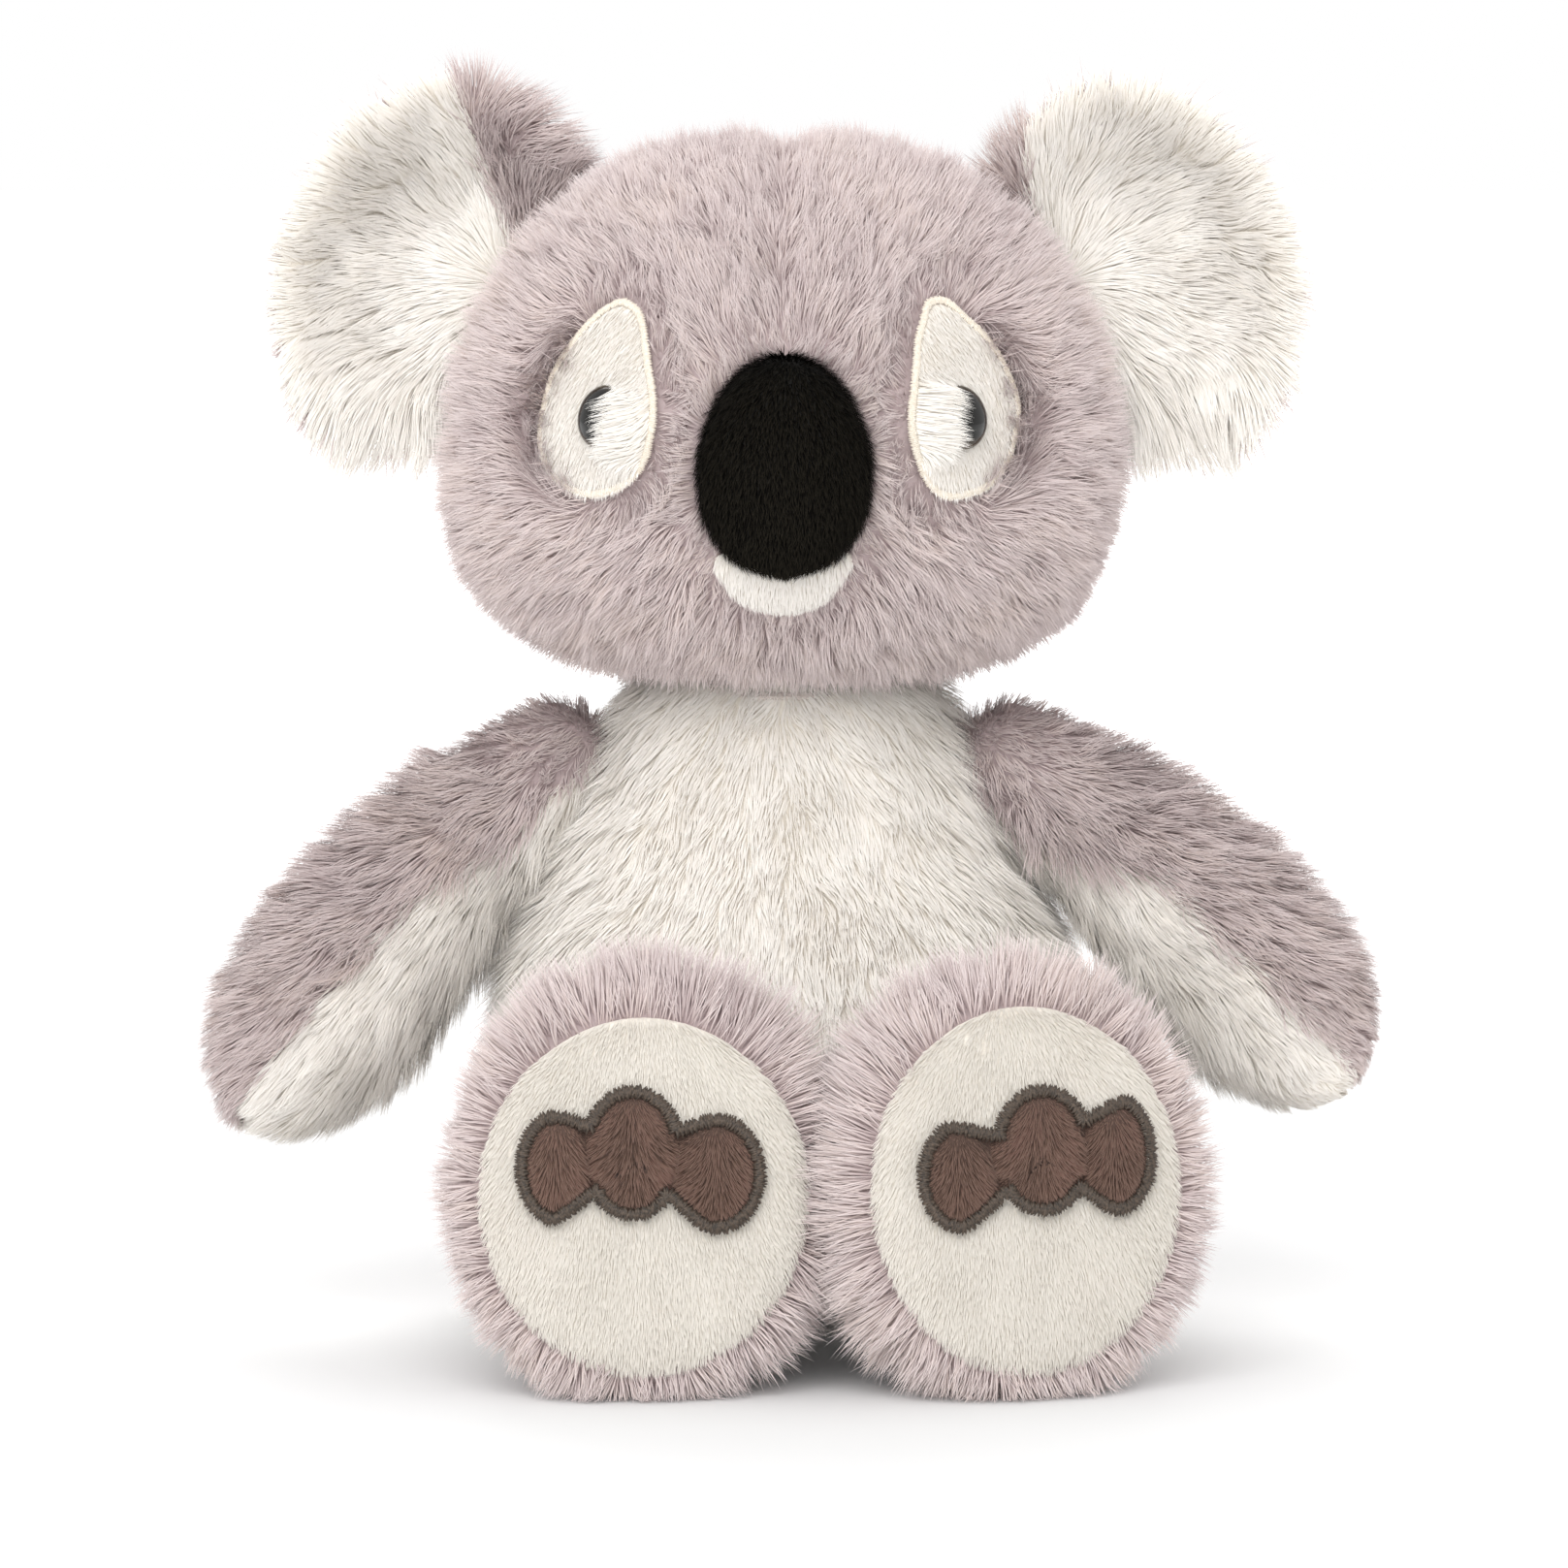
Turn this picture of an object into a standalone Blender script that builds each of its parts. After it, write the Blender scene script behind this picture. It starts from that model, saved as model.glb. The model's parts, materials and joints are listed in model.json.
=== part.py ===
"""A sitting plush koala, sewn from plush panels over stuffing, with plastic safety eyes.

The toy faces -Y, +X is on the viewer's right, and it sits on z = 0. Every length is in metres.
Each soft part is a cage of rings smoothed by Subdivision Surface. Its cover is that form less
the same form drawn in by the cloth's thickness, cut along the seams, and its stuffing is the
form drawn in once more. Limbs end in a ball that turns in a dish cut into the body.
"""

import math

import bmesh
import bpy
from mathutils import Matrix, Vector
from mathutils.bvhtree import BVHTree

# Cloth, seams and clearances
PLUSH = 0.0020
PATCH_CLOTH = 0.0011
SEAM_GAP = 0.0004
FIT = 0.0003
OVERRUN = 0.020
FLAT_DEPTH = 0.0005

# Smoothness of the cages and of the balls and dishes
TORSO_SIDES = 10
HEAD_SIDES = 12
HEAD_LEVELS = 7
ARM_SIDES = 8
LEG_SIDES = 8
BALL_SIDES = 14

# Body, narrow at the shoulders and wide where it sits
TORSO_WIDTH = 0.111
TORSO_DEPTH = 0.091
SHOULDER_HEIGHT = 0.110
SIDE_SEAM_Y = 0.004
TORSO_RING_SHARES = ((0.0, 0.58), (0.09, 0.93), (0.34, 1.0), (0.66, 0.85), (0.96, 0.575))

# Neck ball, and the sewn ring of thread that closes it
NECK_Y = -0.002
NECK_Z = 0.112
NECK_RADIUS = 0.0235
NECK_RING_ANGLES = (math.radians(64), math.radians(32))
NECK_THREAD = 0.0016
NECK_THREAD_ANGLE = math.radians(72)

# Head, widest at the cheeks, with a broad muzzle between the eyes
HEAD_WIDTH = 0.123
HEAD_DEPTH = 0.094
HEAD_CROWN = 0.0645
HEAD_JAW = 0.0345
HEAD_Y = -0.004
CHEEK_RISE = 0.0445
CHEEK_Z = NECK_Z + CHEEK_RISE
CROWN_POWER = 2.4
JAW_POWER = 2.7
MUZZLE_REACH = 0.018
MUZZLE_WIDTH = 0.086
MUZZLE_HEIGHT = 0.104
MUZZLE_ABOVE_CHEEK = 0.0115
MUZZLE_Z = CHEEK_Z + MUZZLE_ABOVE_CHEEK
MUZZLE_FLAT_SHARE = 0.5
EAR_SEAM_Y = 0.004

# Nose, a padded egg on the muzzle, and the white patch below it
NOSE_WIDTH = 0.0310
NOSE_HEIGHT = 0.0395
NOSE_RISE = 0.0085
NOSE_ABOVE_CHEEK = 0.0080
NOSE_Z = CHEEK_Z + NOSE_ABOVE_CHEEK
NOSE_TAPER_SHARE = 0.14
NOSE_SIDES = 8
NOSE_LEVELS = 5
CHIN_WIDTH = 0.029
CHIN_HEIGHT = 0.024
CHIN_BELOW_CHEEK = 0.0065
CHIN_Z = CHEEK_Z - CHIN_BELOW_CHEEK

# Eye patches, outlined round the eye, and the safety eyes
EYE_X = 0.0322
EYE_ABOVE_CHEEK = 0.0153
EYE_Z = CHEEK_Z + EYE_ABOVE_CHEEK
PATCH_WIDTH = 0.0205
PATCH_HEIGHT = 0.0340
PATCH_OUTLINE_SHARES = ((0.26, 0.60), (0.42, 0.36), (0.44, 0.08), (0.33, -0.20), (0.08, -0.37),
                        (-0.20, -0.39), (-0.44, -0.22), (-0.52, 0.0), (-0.37, 0.24), (-0.04, 0.49))
EYE_RADIUS = 0.0060
EYE_BULGE = 0.0038
EYE_RIM = 0.0008
EYE_SINK = 0.0004
SHANK_RADIUS = 0.0016
SHANK_LENGTH = 0.0100
BARB_REACH = 0.0005
BARB_PITCH = 0.0026
BARB_COUNT = 2
EYE_STEPS = 12
WASHER_RADIUS = 0.0052
WASHER_THICKNESS = 0.0008
WASHER_SLOT = 0.0034
WASHER_TEETH = 8
WASHER_INSET = 0.0006

# Ears, two cupped plush panels that hinge on their sewn root
EAR_X = 0.0515
EAR_ABOVE_CHEEK = 0.0365
EAR_Z = CHEEK_Z + EAR_ABOVE_CHEEK
EAR_SLANT = math.radians(62)
EAR_LENGTH = 0.078
EAR_REACH = 0.0455
EAR_OVERHANG = 0.0185
EAR_SHIFT = 0.003
EAR_CUP = 0.009
EAR_ROOT_RUN = 0.018
EAR_PINCH_SHARE = 0.30
EAR_ROOT_RADIUS = 0.0050
EAR_TUCK = 0.0035
EAR_PANEL = 0.0022
EAR_SIDES = 10
EAR_LEVELS = 2

# Arms, a ball at the shoulder that swells to a round hand
SHOULDER_X = 0.0422
SHOULDER_Y = -0.004
SHOULDER_Z = 0.1035
SHOULDER_RADIUS = 0.0125
ARM_LENGTH = 0.088
ARM_WIDTH = 0.035
ARM_DEPTH = 0.031
ARM_BOW = 0.0045
ARM_FORWARD = math.radians(7)
ARM_DROPS = {"left": math.radians(48), "right": math.radians(43)}
ARM_SEAM_TURN = math.radians(18)
ARM_SEAM_SHIFT = 0.0015
ARM_RING_SHARES = ((0.24, 0.73, 0.94), (0.52, 1.0, 0.66), (0.84, 0.96, 0.22), (0.98, 0.52, 0.07))

# Legs, a ball at the hip that swells to a foot with a flat sole
HIP_X = 0.0290
HIP_Y = -0.0453
HIP_Z = 0.0325
HIP_RADIUS = 0.0232
LEG_LENGTH = 0.0515
FOOT_WIDTH = 0.066
FOOT_HEIGHT = 0.0765
LEG_RISE = math.radians(6)
LEG_TURNS = {"left": math.radians(5), "right": math.radians(18.5)}
LEG_RING_SHARES = ((0.40, 0.22), (0.66, 0.96), (0.90, 0.97), (1.0, 0.72))

# Soles, toe pads and the stitched edge round the pads
SOLE_WIDTH = 0.0575
SOLE_HEIGHT = 0.0640
SOLE_DROP = 0.0015
SOLE_DEPTH = 0.014
TOE_CLOTH = 0.0012
TOE_STITCH = 0.0022
TOE_STITCH_RISE = 0.0006
TOE_SIDES = 12
TOE_LOBE_SHARES = ((0.268, 0.090, 0.098, 0.122), (0.042, 0.118, 0.158, 0.139), (-0.212, 0.056, 0.122, 0.119))

# Colours of the cloths, the stuffing, the thread and the plastic
GREY_PLUSH = (0.58, 0.50, 0.50)
WHITE_PLUSH = (0.87, 0.84, 0.80)
SOLE_PLUSH = (0.87, 0.83, 0.75)
BLACK_PLUSH = (0.012, 0.011, 0.008)
BROWN_PLUSH = (0.13, 0.085, 0.070)
BROWN_THREAD = (0.060, 0.047, 0.037)
STUFFING = (0.90, 0.90, 0.90)
SEAM_THREAD = (0.52, 0.45, 0.45)
EYE_PLASTIC = (0.020, 0.022, 0.018)
WASHER_PLASTIC = (0.80, 0.80, 0.78)

SIDES = {"left": -1, "right": 1}
UP = Vector((0, 0, 1))


# Scene, collections, materials and pivots

def clear_scene():
    for item in list(bpy.data.objects):
        bpy.data.objects.remove(item, do_unlink=True)


def new_collection(name):
    group = bpy.data.collections.new(name)
    bpy.context.scene.collection.children.link(group)
    return group


def finish(name, colour, roughness):
    skin = bpy.data.materials.new(name)
    skin.use_nodes = True
    shader = skin.node_tree.nodes["Principled BSDF"]
    shader.inputs["Base Color"].default_value = (*colour, 1)
    shader.inputs["Roughness"].default_value = roughness
    shader.inputs["Metallic"].default_value = 0
    return skin


def pivot(name, place, parent):
    """An empty on a joint; `parent` is the pivot that carries it, or None for the first."""
    empty = bpy.data.objects.new(name, None)
    PARTS.objects.link(empty)
    empty.location = place - PIVOT_PLACES[parent] if parent else place
    empty.parent = parent
    PIVOT_PLACES[empty] = place
    return empty


def attach(piece, carrier):
    """Hang a piece, whose own transform is in the koala's frame, on a pivot."""
    piece.parent = carrier
    piece.matrix_parent_inverse = Matrix.Translation(-PIVOT_PLACES[carrier])
    return piece


def add_piece(name, mesh, carrier, skin, frame=None):
    piece = bpy.data.objects.new(name, mesh)
    PARTS.objects.link(piece)
    mesh.materials.clear()
    mesh.materials.append(skin)
    if frame:
        piece.matrix_basis = frame
    return attach(piece, carrier)


def add_cutter(name, mesh, carrier, frame=None):
    cutter = bpy.data.objects.new(name, mesh)
    CUTTERS.objects.link(cutter)
    cutter.hide_render = True
    cutter.display_type = "WIRE"
    if frame:
        cutter.matrix_basis = frame
    return attach(cutter, carrier)


def cut(piece, cutter, operation="DIFFERENCE"):
    step = piece.modifiers.new(cutter.name, "BOOLEAN")
    step.operation = operation
    step.object = cutter
    step.solver = "EXACT"
    return piece


def frame_along(place, along, up):
    """A frame whose Z runs along a limb, and whose Y leans to `up`."""
    z_axis = along.normalized()
    x_axis = up.cross(z_axis).normalized()
    y_axis = z_axis.cross(x_axis)
    turn = Matrix((x_axis, y_axis, z_axis)).transposed()
    return Matrix.Translation(place) @ turn.to_4x4()


# Plain meshes

def mesh_from(bm, name, smooth=True):
    mesh = bpy.data.meshes.new(name)
    bm.to_mesh(mesh)
    bm.free()
    if smooth:
        mesh.shade_smooth()
    return mesh


def box_mesh(name, low, high):
    bm = bmesh.new()
    bmesh.ops.create_cube(bm, size=1)
    middle = (Vector(low) + Vector(high)) / 2
    span = Vector(high) - Vector(low)
    for corner in bm.verts:
        corner.co = Vector(a * b for a, b in zip(corner.co, span)) + middle
    return mesh_from(bm, name, smooth=False)


def drum_mesh(name, half_x, half_y, low, high, sides):
    """An elliptic drum along Z from low to high."""
    bm = bmesh.new()
    bmesh.ops.create_cone(bm, cap_ends=True, segments=sides, radius1=1, radius2=1, depth=1)
    for corner in bm.verts:
        corner.co.x *= half_x
        corner.co.y *= half_y
        corner.co.z = high if corner.co.z > 0 else low
    return mesh_from(bm, name, smooth=False)


def ball_mesh(name, radius):
    bm = bmesh.new()
    bmesh.ops.create_uvsphere(bm, u_segments=BALL_SIDES, v_segments=BALL_SIDES // 2, radius=radius)
    return mesh_from(bm, name)


def dish_radius(ball_radius):
    """The radius of a faceted dish whose flats clear a ball by FIT."""
    flat_share = math.cos(math.pi / BALL_SIDES) ** 2
    return (ball_radius + FIT) / flat_share


# Soft forms: a cage of rings, smoothed

def kept_share(step):
    """The share of its radius that a ring keeps when smoothed, its points an angle of step apart."""
    return (2 + math.cos(step)) / 3


def ring_cage(name, rings, sides, inset=0):
    """A closed cage through rings (height, half x, half y, shift x, shift y), poles first and last.

    Smoothing draws a ring of few points inwards, so each ring is swelled by what it will lose.
    A positive inset draws the cage in along its normals, a negative one grows it.
    """
    levels = len(rings) - 1
    swell = 1 / kept_share(2 * math.pi / sides)
    bm = bmesh.new()
    bmesh.ops.create_uvsphere(bm, u_segments=sides, v_segments=levels, radius=1)
    for point in bm.verts:
        level = round((1 - math.acos(max(-1, min(1, point.co.z))) / math.pi) * levels)
        height, half_x, half_y, shift_x, shift_y = rings[level]
        around = math.atan2(point.co.y, point.co.x)
        point.co = (math.cos(around) * half_x * swell + shift_x,
                    math.sin(around) * half_y * swell + shift_y, height)
    return draw_in(bm, name, inset)


def draw_in(bm, name, inset):
    bm.normal_update()
    places = [point.co - point.normal * inset for point in bm.verts]
    for point, place in zip(bm.verts, places):
        point.co = place
    return mesh_from(bm, name)


def smooth_form(item):
    step = item.modifiers.new("smooth", "SUBSURF")
    step.levels = 1
    step.render_levels = 1
    return item


def ball_rings(radius, angles, centre=0):
    """Rings of a ball at the given angles from its +Z pole, lowest first.

    The ball is swelled by what smoothing takes off a profile of so few points.
    """
    step = (max(angles) - min(angles)) / (len(angles) - 1)
    full = radius / kept_share(step)
    return [(centre + full * math.cos(angle), full * math.sin(angle), full * math.sin(angle), 0, 0)
            for angle in sorted(angles, reverse=True)]


def torso_rings():
    rings = [(-FLAT_DEPTH, 0, 0, 0, 0)]
    for height_share, width_share in TORSO_RING_SHARES:
        rings.append((height_share * SHOULDER_HEIGHT - FLAT_DEPTH, width_share * TORSO_WIDTH / 2,
                      width_share * TORSO_DEPTH / 2, 0, 0))
    for height, half_x, half_y, shift_x, _ in ball_rings(NECK_RADIUS, (*NECK_RING_ANGLES, 0), NECK_Z):
        rings.append((height, half_x, half_y, shift_x, NECK_Y))
    return rings


def root_rings(radius):
    """The ball at a limb's root: its back half, then the ring at its middle, where the limb begins."""
    return ball_rings(radius, (math.radians(180), math.radians(132))) + [(0, radius, radius, 0, 0)]


def arm_rings():
    rings = root_rings(SHOULDER_RADIUS)
    for along_share, swell_share, bow_share in ARM_RING_SHARES:
        rings.append((along_share * ARM_LENGTH, swell_share * ARM_DEPTH / 2,
                      swell_share * ARM_WIDTH / 2, 0, bow_share * ARM_BOW))
    rings.append((ARM_LENGTH, 0, 0, 0, 0))
    return rings


def leg_rings():
    rings = root_rings(HIP_RADIUS)
    for along_share, swell_share in LEG_RING_SHARES:
        rings.append((along_share * LEG_LENGTH, mix_size(FOOT_WIDTH / 2, swell_share),
                      mix_size(FOOT_HEIGHT / 2, swell_share), 0, 0))
    rings.append((LEG_LENGTH, 0, 0, 0, 0))
    return rings


def mix_size(full, share):
    """The size that lies a share of the way from the hip's ball to the full foot."""
    return HIP_RADIUS + (full - HIP_RADIUS) * share


def fade(distance, flat_share):
    """1 out to flat_share, then a smooth fall to 0 at a distance of 1."""
    run = min(1, max(0, (abs(distance) - flat_share) / (1 - flat_share)))
    return 1 - run * run * (3 - 2 * run)


def head_cage(name, inset=0):
    """The head: a full-cheeked egg whose front is pushed out into a broad muzzle."""
    swell = 1 / kept_share(2 * math.pi / HEAD_SIDES)
    bm = bmesh.new()
    bmesh.ops.create_uvsphere(bm, u_segments=HEAD_SIDES, v_segments=HEAD_LEVELS, radius=1)
    bmesh.ops.rotate(bm, verts=bm.verts, matrix=Matrix.Rotation(math.pi / HEAD_SIDES, 3, "Z"))
    for point in bm.verts:
        level = max(-1, min(1, point.co.z))
        height, power = (HEAD_CROWN, CROWN_POWER) if level > 0 else (HEAD_JAW, JAW_POWER)
        around = math.atan2(point.co.y, point.co.x)
        full = (1 - abs(level) ** power) ** (1 / power) * swell
        place = Vector((math.cos(around) * full * HEAD_WIDTH / 2,
                        math.sin(around) * full * HEAD_DEPTH / 2 + HEAD_Y, level * height + CHEEK_Z))
        front_share = max(0, -math.sin(around))
        across = fade(place.x / (MUZZLE_WIDTH / 2), MUZZLE_FLAT_SHARE)
        upright = fade((place.z - MUZZLE_Z) / (MUZZLE_HEIGHT / 2), 0)
        place.y -= MUZZLE_REACH * across * upright * front_share
        point.co = place
    return draw_in(bm, name, inset)


def nose_cage(name, inset=0):
    """The nose pad: an egg, narrower at the top, half sunk into the muzzle."""
    front = surface_point(FORMS["head_outer"], 0, NOSE_Z)[0].y
    bm = bmesh.new()
    bmesh.ops.create_uvsphere(bm, u_segments=NOSE_SIDES, v_segments=NOSE_LEVELS, radius=1)
    for point in bm.verts:
        taper = 1 - NOSE_TAPER_SHARE * point.co.z
        point.co = (point.co.x * NOSE_WIDTH / 2 * taper, front + point.co.y * NOSE_RISE,
                    NOSE_Z + point.co.z * NOSE_HEIGHT / 2)
    return draw_in(bm, name, inset)


# Looking up places on a finished form

def shown_mesh(item):
    bpy.context.view_layer.update()
    return bpy.data.meshes.new_from_object(item.evaluated_get(bpy.context.evaluated_depsgraph_get()))


def surface_point(form, x, z):
    """The point and outward normal where a line along +Y at (x, z) first meets a form."""
    mesh = shown_mesh(form)
    tree = BVHTree.FromPolygons([form.matrix_world @ v.co for v in mesh.vertices],
                                [p.vertices for p in mesh.polygons])
    place, normal, _, _ = tree.ray_cast(Vector((x, -HEAD_WIDTH - HEAD_DEPTH, z)), Vector((0, 1, 0)))
    bpy.data.meshes.remove(mesh)
    return place, normal


# Outlines

def outline_mesh(name, points, thickness, smooth=True):
    """A closed flat outline, filled and extruded along Z about zero, as a welded mesh."""
    curve = bpy.data.curves.new(name, "CURVE")
    curve.dimensions = "2D"
    curve.fill_mode = "BOTH"
    curve.extrude = thickness / 2
    curve.resolution_u = 3
    add_spline(curve, points, smooth)
    return curve_to_mesh(curve)


def add_spline(curve, points, smooth):
    if smooth:
        spline = curve.splines.new("BEZIER")
        spline.bezier_points.add(len(points) - 1)
        for knot, (x, y) in zip(spline.bezier_points, points):
            knot.co = (x, y, 0)
            knot.handle_left_type = knot.handle_right_type = "AUTO"
    else:
        spline = curve.splines.new("POLY")
        spline.points.add(len(points) - 1)
        for knot, (x, y) in zip(spline.points, points):
            knot.co = (x, y, 0, 1)
    spline.use_cyclic_u = True


def curve_to_mesh(curve):
    """The curve's evaluated shape as a mesh with its caps welded; the curve is removed."""
    item = bpy.data.objects.new(curve.name, curve)
    bpy.context.scene.collection.objects.link(item)
    mesh = shown_mesh(item)
    bpy.data.objects.remove(item, do_unlink=True)
    bm = bmesh.new()
    bm.from_mesh(mesh)
    bmesh.ops.remove_doubles(bm, verts=bm.verts, dist=FIT / 100)
    bm.to_mesh(mesh)
    bm.free()
    return mesh


# Body

def build_forms():
    """The outer, inner and stuffing forms of every stuffed part, kept as cutters."""
    stack = {"outer": 0, "inner": PLUSH, "stuffing": PLUSH + FIT}
    for layer, inset in stack.items():
        add_form("torso", layer, ring_cage("torso_form", torso_rings(), TORSO_SIDES, inset), ROOT)
        add_form("head", layer, head_cage("head_form", inset), HEAD)
        for side in SIDES:
            add_form("arm_" + side, layer, ring_cage("arm_form", arm_rings(), ARM_SIDES, inset),
                     SHOULDERS[side], ARM_FRAMES[side])
            add_form("leg_" + side, layer, ring_cage("leg_form", leg_rings(), LEG_SIDES, inset),
                     HIPS[side], LEG_FRAMES[side])


def add_form(part, layer, mesh, carrier, frame=None):
    cutter = add_cutter(f"{part}_{layer}_form", mesh, carrier, frame)
    FORMS[f"{part}_{layer}"] = smooth_form(cutter)


def panel(name, form, carrier, skin, frame=None):
    """A cover panel: the outer form less the inner one, still to be cut along its seams."""
    outer = FORMS[form + "_outer"]
    piece = smooth_form(add_piece(name, outer.data.copy(), carrier, skin, frame))
    return cut(piece, FORMS[form + "_inner"])


def stuffing(name, form, carrier, frame=None):
    inner = FORMS[form + "_stuffing"]
    return smooth_form(add_piece(name, inner.data.copy(), carrier, SKINS["stuffing"], frame))


def build_torso():
    reach = TORSO_WIDTH
    floor = add_cutter("floor", box_mesh("floor", (-reach, -reach, -reach), (reach, reach, 0)), ROOT)
    FORMS["floor"] = floor
    front = add_cutter("belly_side", box_mesh(
        "belly_side", (-reach, -reach, -reach), (reach, SIDE_SEAM_Y - SEAM_GAP / 2, 2 * reach)), ROOT)
    back = add_cutter("back_side", box_mesh(
        "back_side", (-reach, SIDE_SEAM_Y + SEAM_GAP / 2, -reach), (reach, reach, 2 * reach)), ROOT)
    belly = cut(panel("torso_belly", "torso", ROOT, SKINS["white"]), floor)
    spine = cut(panel("torso_back", "torso", ROOT, SKINS["grey"]), floor)
    cut(belly, front, "INTERSECT")
    cut(spine, back, "INTERSECT")
    filling = stuffing("torso_stuffing", "torso", ROOT)
    turning_room = FIT + NECK_RADIUS * (1 - math.cos(math.pi / BALL_SIDES))
    groove = add_cutter("neck_groove", neck_ring_mesh("neck_groove", NECK_THREAD / 2 + turning_room), ROOT)
    for piece in (belly, spine, filling):
        for side in SIDES:
            cut(piece, dish("shoulder_dish_" + side, SHOULDER_RADIUS, SHOULDER_PLACES[side]))
            cut(piece, dish("hip_dish_" + side, HIP_RADIUS, HIP_PLACES[side]))
        cut(piece, groove)


def dish(name, radius, place):
    if name not in FORMS:
        FORMS[name] = add_cutter(name, ball_mesh(name, dish_radius(radius)), ROOT,
                                 Matrix.Translation(place))
    return FORMS[name]


def neck_ring_mesh(name, thread_radius):
    """A ring of thread round the neck ball, half let into it."""
    ring_radius = (NECK_RADIUS - NECK_THREAD / 2) * math.sin(NECK_THREAD_ANGLE)
    height = NECK_Z + (NECK_RADIUS - NECK_THREAD / 2) * math.cos(NECK_THREAD_ANGLE)
    bpy.ops.mesh.primitive_torus_add(major_radius=ring_radius, minor_radius=thread_radius,
                                     major_segments=BALL_SIDES, minor_segments=6)
    torus = bpy.context.object
    mesh = torus.data
    mesh.name = name
    bpy.data.objects.remove(torus, do_unlink=True)
    mesh.transform(Matrix.Translation((0, NECK_Y, height)))
    mesh.shade_smooth()
    return mesh


def build_neck():
    add_piece("neck_seam", neck_ring_mesh("neck_seam", NECK_THREAD / 2), NECK, SKINS["seam_thread"])


# Head

def build_head():
    reach = HEAD_WIDTH
    top = CHEEK_Z + HEAD_CROWN + OVERRUN
    socket = add_cutter("neck_socket", ball_mesh("neck_socket", dish_radius(NECK_RADIUS)), HEAD,
                        Matrix.Translation(NECK_PLACE))
    front_limit = EAR_SEAM_Y - SEAM_GAP / 2
    pieces = []
    for side, sign in SIDES.items():
        name = "face_side_" + side
        near, far = sorted((sign * SEAM_GAP / 2, sign * reach))
        half = add_cutter(name, box_mesh(name, (near, -reach, 0), (far, front_limit, top)), HEAD)
        pieces.append(cut(panel("head_face_" + side, "head", HEAD, SKINS["grey"]), half, "INTERSECT"))
    rear = add_cutter("head_rear_side", box_mesh(
        "head_rear_side", (-reach, EAR_SEAM_Y + SEAM_GAP / 2, 0), (reach, reach, top)), HEAD)
    pieces.append(cut(panel("head_back", "head", HEAD, SKINS["grey"]), rear, "INTERSECT"))
    pieces.append(stuffing("head_stuffing", "head", HEAD))
    grooves = [ear_groove(side) for side in SIDES]
    eyes = [build_eye(side) for side in SIDES]
    for piece in pieces:
        cut(piece, socket)
        for groove in grooves:
            cut(piece, groove)
        for shank_hole, washer_pocket, stuffing_hole in eyes:
            if piece.name == "head_stuffing":
                cut(piece, stuffing_hole)
            else:
                cut(piece, shank_hole)
                cut(piece, washer_pocket)


def head_layer(name, inset):
    if name not in FORMS:
        FORMS[name] = smooth_form(add_cutter(name, head_cage(name, inset), HEAD))
    return FORMS[name]


def applique(name, mesh, skin, frame=None):
    """A patch on the head: an upright outline's prism, kept only in a layer on the cover."""
    patch = add_piece(name, mesh, HEAD, skin, frame)
    cut(patch, head_layer("patch_top", -FIT - PATCH_CLOTH), "INTERSECT")
    return cut(patch, head_layer("patch_bed", -FIT))


FACING = Matrix.Rotation(math.pi / 2, 4, "X")


def build_eye(side):
    """One eye patch, its safety eye and its lock washer; returns the holes that they need."""
    sign = SIDES[side]
    seat, normal = surface_point(FORMS["head_outer"], sign * EYE_X, EYE_Z)
    axis = frame_along(seat, normal, UP)
    outline = [(-sign * x * PATCH_WIDTH, z * PATCH_HEIGHT) for x, z in PATCH_OUTLINE_SHARES]
    face = Matrix.Translation((sign * EYE_X, -HEAD_DEPTH / 2, EYE_Z)) @ FACING
    patch = applique("eye_patch_" + side, outline_mesh("eye_patch_" + side, outline, HEAD_DEPTH),
                     SKINS["white_short"], face)
    base = PATCH_CLOTH + FIT - EYE_SINK
    seat_name = "eye_seat_" + side
    eye_seat = add_cutter(seat_name, drum_mesh(
        seat_name, EYE_RADIUS + FIT, EYE_RADIUS + FIT, base - FIT, EYE_BULGE + OVERRUN, BALL_SIDES), HEAD, axis)
    cut(patch, eye_seat)
    washer_top = -PLUSH - WASHER_INSET
    washer = axis @ Matrix.Translation((0, 0, washer_top - WASHER_THICKNESS / 2))
    add_piece("eye_" + side, eye_mesh("eye_" + side, base), HEAD, SKINS["eye"], axis)
    add_piece("eye_washer_" + side, washer_mesh("eye_washer_" + side), HEAD, SKINS["washer"], washer)
    bottom = base - SHANK_LENGTH - FIT
    holes = []
    for name, radius, top in (("shank_hole_", SHANK_RADIUS + BARB_REACH, OVERRUN),
                              ("washer_pocket_", WASHER_RADIUS, washer_top),
                              ("stuffing_hole_", WASHER_RADIUS, OVERRUN)):
        mesh = drum_mesh(name, radius + FIT, radius + FIT, bottom, top + FIT, BALL_SIDES)
        holes.append(add_cutter(name + side, mesh, HEAD, axis))
    cut(patch, holes[0])
    return holes


def eye_mesh(name, base):
    """A domed button with a barbed shank behind it, turned about Z."""
    profile = [(0, base + EYE_RIM + EYE_BULGE)]
    for turn_share in (0.3, 0.6, 0.85, 1.0):
        angle = turn_share * math.pi / 2
        profile.append((EYE_RADIUS * math.sin(angle), base + EYE_RIM + EYE_BULGE * math.cos(angle)))
    profile += [(EYE_RADIUS, base), (SHANK_RADIUS, base)]
    tip = base - SHANK_LENGTH
    for barb in range(BARB_COUNT, 0, -1):
        ledge = tip + barb * BARB_PITCH
        profile += [(SHANK_RADIUS, ledge), (SHANK_RADIUS + BARB_REACH, ledge),
                    (SHANK_RADIUS, ledge - BARB_PITCH / 2)]
    profile += [(SHANK_RADIUS, tip), (0, tip)]
    return turned_mesh(name, profile, EYE_STEPS)


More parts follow.
